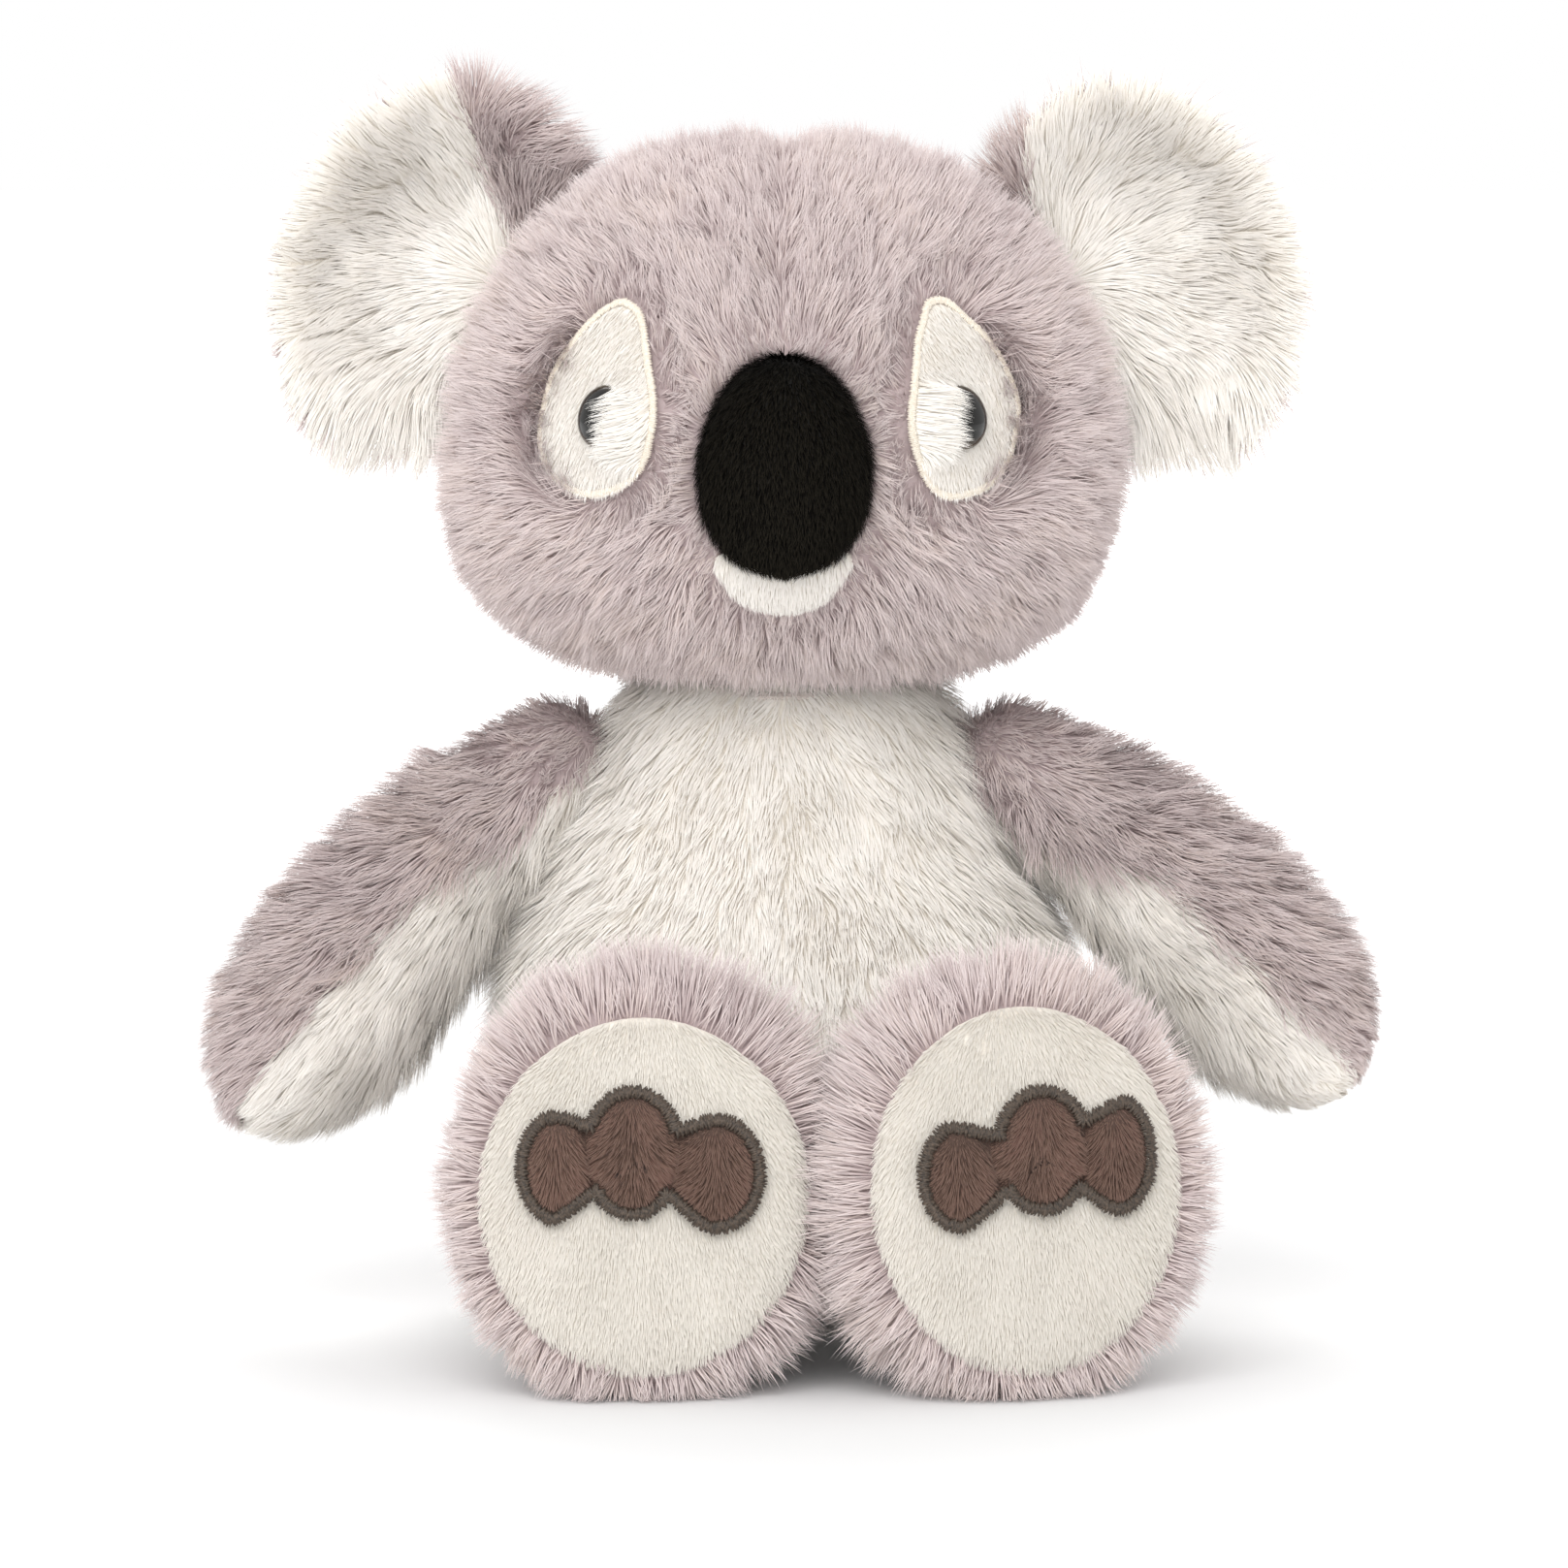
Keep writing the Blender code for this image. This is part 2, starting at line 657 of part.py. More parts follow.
def turned_mesh(name, profile, steps):
    """A profile of (radius, height), top to bottom on its outer side, turned about Z."""
    bm = bmesh.new()
    knots = [bm.verts.new((radius, 0, height)) for radius, height in profile]
    for first, second in zip(knots, knots[1:]):
        bm.edges.new((first, second))
    item = bpy.data.objects.new(name, mesh_from(bm, name, smooth=False))
    bpy.context.scene.collection.objects.link(item)
    screw = item.modifiers.new("turn", "SCREW")
    screw.steps = steps
    screw.render_steps = steps
    screw.use_merge_vertices = True
    screw.merge_threshold = FIT / 100
    mesh = shown_mesh(item)
    mesh.name = name
    bpy.data.objects.remove(item, do_unlink=True)
    mesh.shade_smooth()
    mesh.set_sharp_from_angle(angle=math.radians(40))
    return mesh


def washer_mesh(name):
    """A toothed lock washer: teeth that spring over the shank's barbs, between open slots."""
    curve = bpy.data.curves.new(name, "CURVE")
    curve.dimensions = "2D"
    curve.fill_mode = "BOTH"
    curve.extrude = WASHER_THICKNESS / 2
    rim = [2 * math.pi * step / BALL_SIDES for step in range(BALL_SIDES)]
    add_spline(curve, [(WASHER_RADIUS * math.cos(a), WASHER_RADIUS * math.sin(a)) for a in rim], False)
    teeth = []
    tooth_radius = SHANK_RADIUS + BARB_REACH + FIT
    for tooth in range(WASHER_TEETH):
        for turn_share, radius in ((0.0, tooth_radius), (0.45, tooth_radius), (0.55, WASHER_SLOT),
                                   (0.9, WASHER_SLOT)):
            angle = 2 * math.pi * (tooth + turn_share) / WASHER_TEETH
            teeth.append((radius * math.cos(angle), radius * math.sin(angle)))
    add_spline(curve, teeth, False)
    return curve_to_mesh(curve)


def build_nose():
    outer = smooth_form(add_cutter("nose_outer", nose_cage("nose_outer"), HEAD))
    inner = smooth_form(add_cutter("nose_inner", nose_cage("nose_inner", PATCH_CLOTH), HEAD))
    bed = head_layer("patch_bed", -FIT)
    cover = smooth_form(add_piece("nose_cover", outer.data.copy(), HEAD, SKINS["black"]))
    cut(cover, inner)
    cut(cover, bed)
    pad = smooth_form(add_piece("nose_padding", nose_cage("nose_padding", PATCH_CLOTH + FIT), HEAD,
                                SKINS["stuffing"]))
    cut(pad, bed)
    grown = smooth_form(add_cutter("nose_bed", nose_cage("nose_bed", -FIT), HEAD))
    chin_frame = Matrix.Translation((0, -HEAD_DEPTH / 2, CHIN_Z)) @ FACING
    chin = applique("chin_patch", drum_mesh(
        "chin_patch", CHIN_WIDTH / 2, CHIN_HEIGHT / 2, -HEAD_DEPTH / 2, HEAD_DEPTH / 2, BALL_SIDES),
        SKINS["white_short"], chin_frame)
    cut(chin, grown)


# Ears

def ear_frame(side):
    """X runs along the sewn root, Y out of it, and Z towards the back of the head."""
    sign = SIDES[side]
    outward = Vector((sign * math.sin(EAR_SLANT), 0, math.cos(EAR_SLANT)))
    back = Vector((0, 1, 0))
    turn = Matrix((outward.cross(back), outward, back)).transposed()
    return Matrix.Translation(EAR_PLACES[side]) @ turn.to_4x4()


def ear_groove(side):
    """The round groove that the ear's root turns in."""
    name = "ear_groove_" + side
    reach = dish_radius(EAR_ROOT_RADIUS)
    mesh = drum_mesh(name, reach, reach, -EAR_LENGTH / 2, EAR_LENGTH / 2, BALL_SIDES)
    along_root = Matrix.Rotation(math.pi / 2, 4, "Y")
    return add_cutter(name, mesh, HEAD, ear_frame(side) @ along_root)


def ear_sheet_mesh(name, side, offset):
    """One ear panel as an open sheet: an egg cut off at the root, dished towards the back."""
    half_reach = (EAR_REACH + EAR_OVERHANG) / 2
    middle = EAR_REACH - half_reach
    bm = bmesh.new()
    bmesh.ops.create_uvsphere(bm, u_segments=EAR_SIDES, v_segments=2 * EAR_LEVELS, radius=1)
    bmesh.ops.bisect_plane(bm, geom=bm.verts[:] + bm.edges[:] + bm.faces[:], plane_co=(0, 0, 0),
                           plane_no=(0, 0, 1), clear_inner=True)
    for point in bm.verts:
        spread = 1 - math.acos(min(1, point.co.xy.length)) / (math.pi / 2)
        around = math.atan2(point.co.y, point.co.x)
        point.co = (spread * math.cos(around) * EAR_LENGTH / 2,
                    middle + spread * math.sin(around) * half_reach, 0)
    bmesh.ops.bisect_plane(bm, geom=bm.verts[:] + bm.edges[:] + bm.faces[:], plane_co=(0, -EAR_TUCK, 0),
                           plane_no=(0, 1, 0), clear_inner=True, dist=FIT / 100)
    down = -SIDES[side]
    for point in bm.verts:
        across = point.co.x / (EAR_LENGTH / 2)
        outward = (point.co.y - middle) / half_reach
        body = max(0, 1 - across * across - outward * outward)
        free = 1 - fade((point.co.y + EAR_TUCK) / EAR_ROOT_RUN, 0)
        point.co.x *= 1 - EAR_PINCH_SHARE * (1 - free)
        point.co.x += down * EAR_SHIFT * free
        point.co.z = EAR_CUP * body * free + offset
    return mesh_from(bm, name)


def build_ear(side):
    """A white front panel and a grey back panel, sewn round their edge and turned out."""
    carrier = EARS[side]
    for name, skin, offset, thick_side in (("ear_front_", "white", -SEAM_GAP / 2, -1),
                                           ("ear_back_", "grey", SEAM_GAP / 2, 1)):
        mesh = ear_sheet_mesh(name + side, side, offset)
        sheet = smooth_form(add_piece(name + side, mesh, carrier, SKINS[skin], ear_frame(side)))
        wall = sheet.modifiers.new("cloth", "SOLIDIFY")
        wall.thickness = EAR_PANEL
        wall.offset = thick_side
        wall.use_rim = True


# Arms and legs

def build_arm(side):
    """An arm of a grey outer panel and a white inner one, over its stuffing."""
    form = "arm_" + side
    frame = ARM_FRAMES[side]
    seam = frame @ Matrix.Rotation(-SIDES[side] * ARM_SEAM_TURN, 4, "Z")
    reach = 2 * ARM_LENGTH
    for name, skin, near, far in (("outer", "grey", ARM_SEAM_SHIFT + SEAM_GAP / 2, reach),
                                  ("inner", "white", -reach, ARM_SEAM_SHIFT - SEAM_GAP / 2)):
        half_name = f"{form}_{name}_side"
        half = add_cutter(half_name, box_mesh(
            half_name, (-reach, near, -reach), (reach, far, reach)), SHOULDERS[side], seam)
        cut(panel(f"{form}_{name}", form, SHOULDERS[side], SKINS[skin], frame), half, "INTERSECT")
    stuffing(form + "_stuffing", form, SHOULDERS[side], frame)


def build_leg(side):
    """A grey leg cover, open at the front for a cream sole, over its stuffing."""
    form = "leg_" + side
    frame = LEG_FRAMES[side]
    carrier = HIPS[side]
    cover = panel(form + "_cover", form, carrier, SKINS["grey"], frame)
    sole = panel("sole_" + side, form, carrier, SKINS["sole"], frame)
    filling = stuffing(form + "_stuffing", form, carrier, frame)
    seat = frame @ Matrix.Translation((0, -SOLE_DROP, 0))
    for piece, clearance, operation in ((cover, SEAM_GAP / 2, "DIFFERENCE"), (sole, -SEAM_GAP / 2, "INTERSECT")):
        name = f"sole_opening_{side}_{operation.lower()}"
        drum = add_cutter(name, drum_mesh(
            name, SOLE_WIDTH / 2 + clearance, SOLE_HEIGHT / 2 + clearance, LEG_LENGTH - SOLE_DEPTH,
            LEG_LENGTH + OVERRUN, 2 * TOE_SIDES), carrier, seat)
        cut(piece, drum, operation)
    cut(cover, FORMS["floor"])
    build_toes(side, seat)


def leg_layer(name, side, inset):
    """The leg's form drawn in or grown by an inset, as a cutter."""
    full_name = f"{name}_{side}"
    mesh = ring_cage(full_name, leg_rings(), LEG_SIDES, inset)
    return smooth_form(add_cutter(full_name, mesh, HIPS[side], LEG_FRAMES[side]))


def toe_drums(side, grow):
    """Three overlapping elliptical drums over the sole, one for each toe."""
    for outward_share, up_share, half_x_share, half_y_share in TOE_LOBE_SHARES:
        mesh = drum_mesh("toe", half_x_share * SOLE_WIDTH + grow, half_y_share * SOLE_HEIGHT + grow,
                         LEG_LENGTH - SOLE_DEPTH, LEG_LENGTH + OVERRUN, TOE_SIDES)
        mesh.transform(Matrix.Translation((SIDES[side] * outward_share * SOLE_WIDTH,
                                           up_share * SOLE_HEIGHT, 0)))
        yield mesh


def build_toes(side, seat):
    """Toe pads of short brown plush, and the raised stitching round them."""
    carrier = HIPS[side]
    bed = leg_layer("toe_bed", side, -FIT)
    for name, skin, grow, rise in (("toe_pads_", "brown", 0, TOE_CLOTH),
                                   ("toe_stitching_", "brown_thread", TOE_STITCH, TOE_CLOTH + TOE_STITCH_RISE)):
        first, *others = toe_drums(side, grow)
        piece = add_piece(name + side, first, carrier, SKINS[skin], seat)
        for number, mesh in enumerate(others):
            cut(piece, add_cutter(f"{name}{side}_lobe_{number}", mesh, carrier, seat), "UNION")
        cut(piece, leg_layer(name + "top", side, -FIT - rise), "INTERSECT")
        cut(piece, bed)
        if grow:
            for number, mesh in enumerate(toe_drums(side, FIT)):
                cut(piece, add_cutter(f"toe_hole_{side}_{number}", mesh, carrier, seat))


def stand_on_origin():
    """Move the root so that the toy's box is centred on the origin and stands on z = 0."""
    corners = []
    for piece in PARTS.objects:
        if piece.type == "MESH":
            mesh = shown_mesh(piece)
            corners += [piece.matrix_world @ point.co for point in mesh.vertices]
            bpy.data.meshes.remove(mesh)
    low = [min(corner[axis] for corner in corners) for axis in range(3)]
    high = [max(corner[axis] for corner in corners) for axis in range(3)]
    ROOT.location = (-(low[0] + high[0]) / 2, -(low[1] + high[1]) / 2, -low[2])


clear_scene()
PARTS = new_collection("koala")
CUTTERS = new_collection("cutters")
FORMS = {}
PIVOT_PLACES = {}
SKINS = {
    "grey": finish("grey_plush", GREY_PLUSH, 0.95),
    "white": finish("white_plush", WHITE_PLUSH, 0.95),
    "white_short": finish("white_short_plush", WHITE_PLUSH, 0.9),
    "sole": finish("sole_plush", SOLE_PLUSH, 0.95),
    "black": finish("black_short_plush", BLACK_PLUSH, 0.85),
    "brown": finish("brown_short_plush", BROWN_PLUSH, 0.9),
    "brown_thread": finish("brown_thread", BROWN_THREAD, 0.6),
    "stuffing": finish("polyester_stuffing", STUFFING, 1.0),
    "seam_thread": finish("seam_thread", SEAM_THREAD, 0.6),
    "eye": finish("eye_plastic", EYE_PLASTIC, 0.08),
    "washer": finish("washer_plastic", WASHER_PLASTIC, 0.4),
}

NECK_PLACE = Vector((0, NECK_Y, NECK_Z))
EAR_PLACES = {side: Vector((sign * EAR_X, EAR_SEAM_Y, EAR_Z)) for side, sign in SIDES.items()}
SHOULDER_PLACES = {side: Vector((sign * SHOULDER_X, SHOULDER_Y, SHOULDER_Z)) for side, sign in SIDES.items()}
HIP_PLACES = {side: Vector((sign * HIP_X, HIP_Y, HIP_Z)) for side, sign in SIDES.items()}
ARM_FRAMES = {side: frame_along(SHOULDER_PLACES[side], Vector((
    sign * math.cos(ARM_DROPS[side]), -math.sin(ARM_FORWARD), -math.sin(ARM_DROPS[side]))), UP)
    for side, sign in SIDES.items()}
LEG_FRAMES = {side: frame_along(HIP_PLACES[side], Vector((
    math.sin(turn), -math.cos(turn), math.sin(LEG_RISE))), UP) for side, turn in LEG_TURNS.items()}

ROOT = pivot("koala_root", Vector((0, 0, 0)), None)
NECK = pivot("neck_pivot", NECK_PLACE, ROOT)
HEAD = pivot("head_pivot", NECK_PLACE, NECK)
EARS = {side: pivot("ear_pivot_" + side, EAR_PLACES[side], HEAD) for side in SIDES}
SHOULDERS = {side: pivot("shoulder_pivot_" + side, SHOULDER_PLACES[side], ROOT) for side in SIDES}
HIPS = {side: pivot("hip_pivot_" + side, HIP_PLACES[side], ROOT) for side in SIDES}

build_forms()
build_torso()
build_neck()
build_head()
build_nose()
for limb_side in SIDES:
    build_ear(limb_side)
    build_arm(limb_side)
    build_leg(limb_side)
stand_on_origin()
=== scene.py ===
# %% [markdown]
# # A plush koala, sitting
# The real toy is sewn from long-pile plush: grey for the head, the backs and the outer sides, white for
# the belly, the inner ears and the inner arms. Short-pile patches make the nose, the chin, the eye
# patches and the soles. This lesson loads the jointed solids, gives each stuffed part a soft skin, and
# then grows the pile on it. First come the tools and the solids.

import json
import math

import bmesh
import bpy
import numpy as np
from mathutils import Matrix, Vector
from mathutils.bvhtree import BVHTree

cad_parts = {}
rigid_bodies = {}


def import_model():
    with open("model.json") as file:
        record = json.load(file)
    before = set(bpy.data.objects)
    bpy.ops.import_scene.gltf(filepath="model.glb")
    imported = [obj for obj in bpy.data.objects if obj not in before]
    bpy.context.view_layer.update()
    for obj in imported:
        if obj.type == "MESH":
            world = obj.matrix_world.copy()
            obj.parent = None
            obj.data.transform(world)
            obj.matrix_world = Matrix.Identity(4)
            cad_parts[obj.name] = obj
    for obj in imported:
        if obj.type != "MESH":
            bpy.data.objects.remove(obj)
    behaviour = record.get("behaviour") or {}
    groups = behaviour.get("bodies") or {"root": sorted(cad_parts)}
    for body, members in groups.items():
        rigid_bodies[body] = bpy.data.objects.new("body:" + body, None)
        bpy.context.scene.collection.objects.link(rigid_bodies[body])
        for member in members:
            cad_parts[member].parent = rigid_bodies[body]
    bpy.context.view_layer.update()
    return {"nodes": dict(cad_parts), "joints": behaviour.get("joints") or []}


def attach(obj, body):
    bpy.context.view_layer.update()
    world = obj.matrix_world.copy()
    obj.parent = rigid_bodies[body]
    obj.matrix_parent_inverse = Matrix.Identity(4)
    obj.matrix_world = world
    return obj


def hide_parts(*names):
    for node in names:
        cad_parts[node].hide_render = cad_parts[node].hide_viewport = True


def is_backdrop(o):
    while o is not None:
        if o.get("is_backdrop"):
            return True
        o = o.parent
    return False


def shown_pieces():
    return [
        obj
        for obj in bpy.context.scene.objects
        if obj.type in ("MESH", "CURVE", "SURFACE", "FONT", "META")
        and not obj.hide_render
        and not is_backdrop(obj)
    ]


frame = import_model()
NODES = frame["nodes"]
SIDES = ("left", "right")

# %% [markdown]
# ## The camera
# The photograph was taken from a little above the toy and from far away, so the lens is long. Its frame
# is 1617 pixels square, and 5.5 of them make a millimetre at the toy's middle. Two helpers go between
# a point of the toy and the pixel where it is seen. They place patches and stitches where the
# photograph has them.

# %% Camera
PICTURE_SIDE = 1617
PIXELS_PER_METRE = 5500
CAMERA_DISTANCE = 1.6
CAMERA_ELEVATION = math.radians(6)
SENSOR_WIDTH = 36
MIDDLE = Vector((-0.00232, 0.02915, 0.1003))
BACK = Vector((0, -math.cos(CAMERA_ELEVATION), math.sin(CAMERA_ELEVATION)))
UP = Vector((0, math.sin(CAMERA_ELEVATION), math.cos(CAMERA_ELEVATION)))
ACROSS = Vector((1, 0, 0))
TOWARDS = np.array(BACK)
EYE_POINT = MIDDLE + BACK * CAMERA_DISTANCE

camera_data = bpy.data.cameras.new("camera")
camera_data.sensor_width = SENSOR_WIDTH
camera_data.lens = SENSOR_WIDTH * CAMERA_DISTANCE * PIXELS_PER_METRE / PICTURE_SIDE
camera = bpy.data.objects.new("camera", camera_data)
camera.matrix_world = Matrix.Translation(EYE_POINT) @ Matrix((ACROSS, UP, BACK)).transposed().to_4x4()
bpy.context.scene.collection.objects.link(camera)
bpy.context.scene.camera = camera


def seen_at(points):
    """The photograph's pixel of each point, as two arrays."""
    away = np.asarray(points, float) - np.array(EYE_POINT)
    depth = -away @ TOWARDS
    scale = PIXELS_PER_METRE * CAMERA_DISTANCE / depth
    middle = PICTURE_SIDE / 2
    return middle + away @ np.array(ACROSS) * scale, middle - away @ np.array(UP) * scale


def sight_line(px, py):
    """The direction from the camera through a pixel of the photograph."""
    middle = PICTURE_SIDE / 2
    aside = ACROSS * (px - middle) + UP * (middle - py)
    return (aside / PIXELS_PER_METRE - BACK * CAMERA_DISTANCE).normalized()


seen_middle = [float(a[0]) for a in seen_at([MIDDLE])]
print("lens in mm:", round(camera_data.lens, 1), "middle is seen at", seen_middle)

# %% [markdown]
# ## Small helpers for nodes
# Materials and Geometry Nodes are both trees of nodes. One method adds any node: its settings first,
# because they decide which sockets it has, and then the values or links of its sockets. A socket
# wrapped in Formula can be used in a Python sum, which adds the Math nodes for it.

# %% Node helpers
class Formula:
    """A number socket that Python sums can be written with."""

    def __init__(self, maker, socket):
        self.maker, self.socket = maker, socket

    def joined(self, operation, first, second, clamp=False):
        settings = {"operation": operation, "use_clamp": clamp}
        return self.maker.number("ShaderNodeMath", settings, {0: first, 1: second})

    def __add__(self, other):
        return self.joined("ADD", self, other)

    def __mul__(self, other):
        return self.joined("MULTIPLY", self, other)

    def __sub__(self, other):
        return self.joined("SUBTRACT", self, other)

    def __rsub__(self, other):
        return self.joined("SUBTRACT", other, self)

    def __truediv__(self, other):
        return self.joined("DIVIDE", self, other)

    def __rtruediv__(self, other):
        return self.joined("DIVIDE", other, self)

    __radd__, __rmul__ = __add__, __mul__

    def held(self):
        """The same value, kept from 0 to 1."""
        return self.joined("ADD", self, 0.0, clamp=True)


class TreeMaker:
    """Adds nodes to one tree."""

    def __init__(self, tree):
        self.tree = tree

    def node(self, kind, settings=None, values=None):
        made = self.tree.nodes.new(kind)
        for name, value in (settings or {}).items():
            setattr(made, name, value)
        for key, value in (values or {}).items():
            self.feed(self.socket(made.inputs, key), value)
        return made

    def socket(self, sockets, key):
        if isinstance(key, int):
            return sockets[key]
        return next(s for s in sockets if s.name == key and s.enabled)

    def feed(self, socket, value):
        if isinstance(value, Formula):
            value = value.socket
        if isinstance(value, bpy.types.NodeSocket):
            self.tree.links.new(value, socket)
        else:
            socket.default_value = value

    def out(self, kind, settings=None, values=None, name=0):
        return self.socket(self.node(kind, settings, values).outputs, name)

    def number(self, kind, settings=None, values=None, name=0):
        return Formula(self, self.out(kind, settings, values, name))

    def noise(self, place, scale, detail=2.0):
        return self.number("ShaderNodeTexNoise", None, {"Vector": place, "Scale": scale, "Detail": detail})

    def named(self, name, kind="FLOAT"):
        """A layer of the mesh."""
        return self.number("GeometryNodeInputNamedAttribute", {"data_type": kind}, {"Name": name},
                           "Attribute")

    def vector(self, operation, first, second=None, name=0):
        values = {0: first} if second is None else {0: first, 1: second}
        return self.out("ShaderNodeVectorMath", {"operation": operation}, values, name)

    def place(self):
        """Where on its object a material is looked at, as a socket."""
        return self.out("ShaderNodeTexCoord", None, None, "Object")

    def scaled(self, first, scale):
        return self.out("ShaderNodeVectorMath", {"operation": "SCALE"}, {0: first, "Scale": scale})


def new_finish(name):
    """An empty material and the maker of its nodes."""
    material = bpy.data.materials.new(name)
    material.use_nodes = True
    material.node_tree.nodes.clear()
    return material, TreeMaker(material.node_tree)


def linear(colour):
    """A colour as the photograph shows it, 0 to 255, as the linear colour that Blender mixes."""
    shares = [c / 255 for c in colour]
    return tuple(c / 12.92 if c <= 0.04045 else ((c + 0.055) / 1.055) ** 2.4 for c in shares) + (1.0,)


print("mid grey in linear light:", round(linear((128, 128, 128))[0], 3))

# %% [markdown]
# ## Light, floor and backdrop
# A plush toy has no gloss that needs a clever lamp. A large soft light stands high behind the toy, so its
# shadow falls forwards as in the photograph. A larger one fills the front, and even light comes from all
# round. A white fabric then shows as white as it is written. The floor and the world are pure white only
# where the camera sees them directly, so the toy keeps its shadow and no more light falls on it.

# %% Lights
AROUND_STRENGTH = 0.77
# Each lamp's place and width in metres, and its power in watts.
SOFTBOXES = {"key_light": ((-0.05, 1.30, 1.25), 1.6, 15.0), "fill_light": ((-0.25, -1.6, 1.1), 1.8, 26.0)}
for name, (place, size, power) in SOFTBOXES.items():
    data = bpy.data.lights.new(name, "AREA")
    data.shape = "DISK"
    data.size = size
    data.energy = power
    lamp = bpy.data.objects.new(name, data)
    aim = (Vector(place) - MIDDLE).to_track_quat("Z", "Y")
    lamp.matrix_world = Matrix.Translation(Vector(place)) @ aim.to_matrix().to_4x4()
    bpy.context.scene.collection.objects.link(lamp)
    print(name, "is", size, "m wide and gives", power, "W")

# %% World and floor
WHITE = (1, 1, 1, 1)
FLOOR_COLOUR = (0.9, 0.9, 0.9, 1)
FLOOR_SIDE = 12.0
FLOOR_LIFT = 0.02
FAR_LIFT = 0.7
FAR_START = 0.3


def direct_look(maker):
    """1 where the camera, a reflection or clear plastic looks straight at the backdrop."""
    path = maker.node("ShaderNodeLightPath")
    looks = [Formula(maker, path.outputs[f"Is {kind} Ray"]) for kind in ("Camera", "Glossy", "Transmission")]
    return (looks[0] + looks[1] + looks[2]).held()


world = bpy.data.worlds.new("studio")
bpy.context.scene.world = world
world.use_nodes = True
world.node_tree.nodes.clear()
maker = TreeMaker(world.node_tree)
strength = direct_look(maker) * (1 - AROUND_STRENGTH) + AROUND_STRENGTH
sky = maker.out("ShaderNodeBackground", None, {"Color": WHITE, "Strength": strength})
maker.node("ShaderNodeOutputWorld", None, {"Surface": sky})

floor_mesh = bpy.data.meshes.new("floor")
corners = [(x * FLOOR_SIDE / 2, y * FLOOR_SIDE / 2, 0) for x, y in ((-1, -1), (1, -1), (1, 1), (-1, 1))]
floor_mesh.from_pydata(corners, [], [(0, 1, 2, 3)])
floor = bpy.data.objects.new("floor", floor_mesh)
bpy.context.scene.collection.objects.link(floor)
floor_paint, maker = new_finish("floor_paint")
away = Formula(maker, maker.vector("LENGTH", maker.place(), name="Value"))
lift = ((away - FAR_START) / (2 * FAR_START)).held() * FAR_LIFT + FLOOR_LIFT
glow = maker.out("ShaderNodeEmission", None, {"Color": WHITE, "Strength": direct_look(maker) * lift})
paint = maker.out("ShaderNodeBsdfDiffuse", None, {"Color": FLOOR_COLOUR})
both = maker.out("ShaderNodeAddShader", None, {0: glow, 1: paint})
maker.node("ShaderNodeOutputMaterial", None, {"Surface": both})
floor_mesh.materials.append(floor_paint)
floor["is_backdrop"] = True
bpy.context.scene.view_settings.view_transform = "Standard"
print("floor side in metres:", FLOOR_SIDE)

# %% [markdown]
# ## Finishes
# Pile is coloured along its length: darker and warmer at the root, where little light reaches, and pale
# at the tip. Each strand also has its own tint. Both are kept in the strand's map, across it for the tint
# and up it from root to tip, so one material serves every hair of a colour.

# %% Materials
TINT_MIDDLE = 0.45
SHADE_GAIN = 1.3
DARK_GAIN = 1.5
# Each pile's colours at root, middle and tip, and the colour of its odd strands.
PILE_COLOURS = {
    "grey_pile": [(176, 157, 157), (213, 199, 197), (233, 222, 221), (221, 205, 197)],
    "white_pile": [(247, 241, 232), (251, 247, 241), (254, 251, 247), (250, 244, 235)],
    "sole_nap": [(218, 212, 202), (227, 222, 213), (237, 232, 224), (225, 218, 209)],
    "black_nap": [(3, 2, 2), (10, 9, 7), (50, 46, 38), (20, 18, 14)],
    "brown_nap": [(66, 50, 43), (108, 85, 74), (142, 116, 104), (124, 93, 84)],
}
PILE_SURFACE = {"Roughness": 0.9, "Sheen Weight": 0.15, "Specular IOR Level": 0.2}
BLACK_SURFACE = {"Roughness": 0.8, "Sheen Weight": 0.0, "Specular IOR Level": 0.05}
BACKING_COLOURS = {
    "grey_backing": [(168, 150, 150), (186, 170, 170)],
    "white_backing": [(230, 222, 210), (240, 234, 225)],
    "black_backing": [(14, 13, 11), (24, 22, 19)],
    "brown_backing": [(72, 55, 48), (94, 74, 65)],
}
GRAIN_SCALE = 900.0
MOTTLE_SCALE = 60.0


def close_finish(maker, colour, values):
    shader = maker.out("ShaderNodeBsdfPrincipled", None, {"Base Color": colour, **values})
    maker.node("ShaderNodeOutputMaterial", None, {"Surface": shader})


def mixed(maker, factor, first, second):
    return maker.out("ShaderNodeMix", {"data_type": "RGBA"}, {0: factor, 6: first, 7: second}, 2)


def pile_finish(name, colours, surface):
    """Pile from root to tip. The tint turns it towards shade for some strands."""
    root, middle, tip, shade = map(linear, colours)
    material, maker = new_finish(name)
    place = maker.out("ShaderNodeUVMap", {"uv_map": "OFBake"})
    parts = maker.node("ShaderNodeSeparateXYZ", None, {0: place})
    tint, along = Formula(maker, parts.outputs[0]), Formula(maker, parts.outputs[1])
    low = mixed(maker, (along * 2).held(), root, middle)
    whole = mixed(maker, (along * 2 - 1).held(), low, tip)
    toned = mixed(maker, ((tint - TINT_MIDDLE) * SHADE_GAIN).held(), whole, shade)
    close_finish(maker, mixed(maker, ((TINT_MIDDLE - tint) * DARK_GAIN).held(), toned, root), surface)
    return material


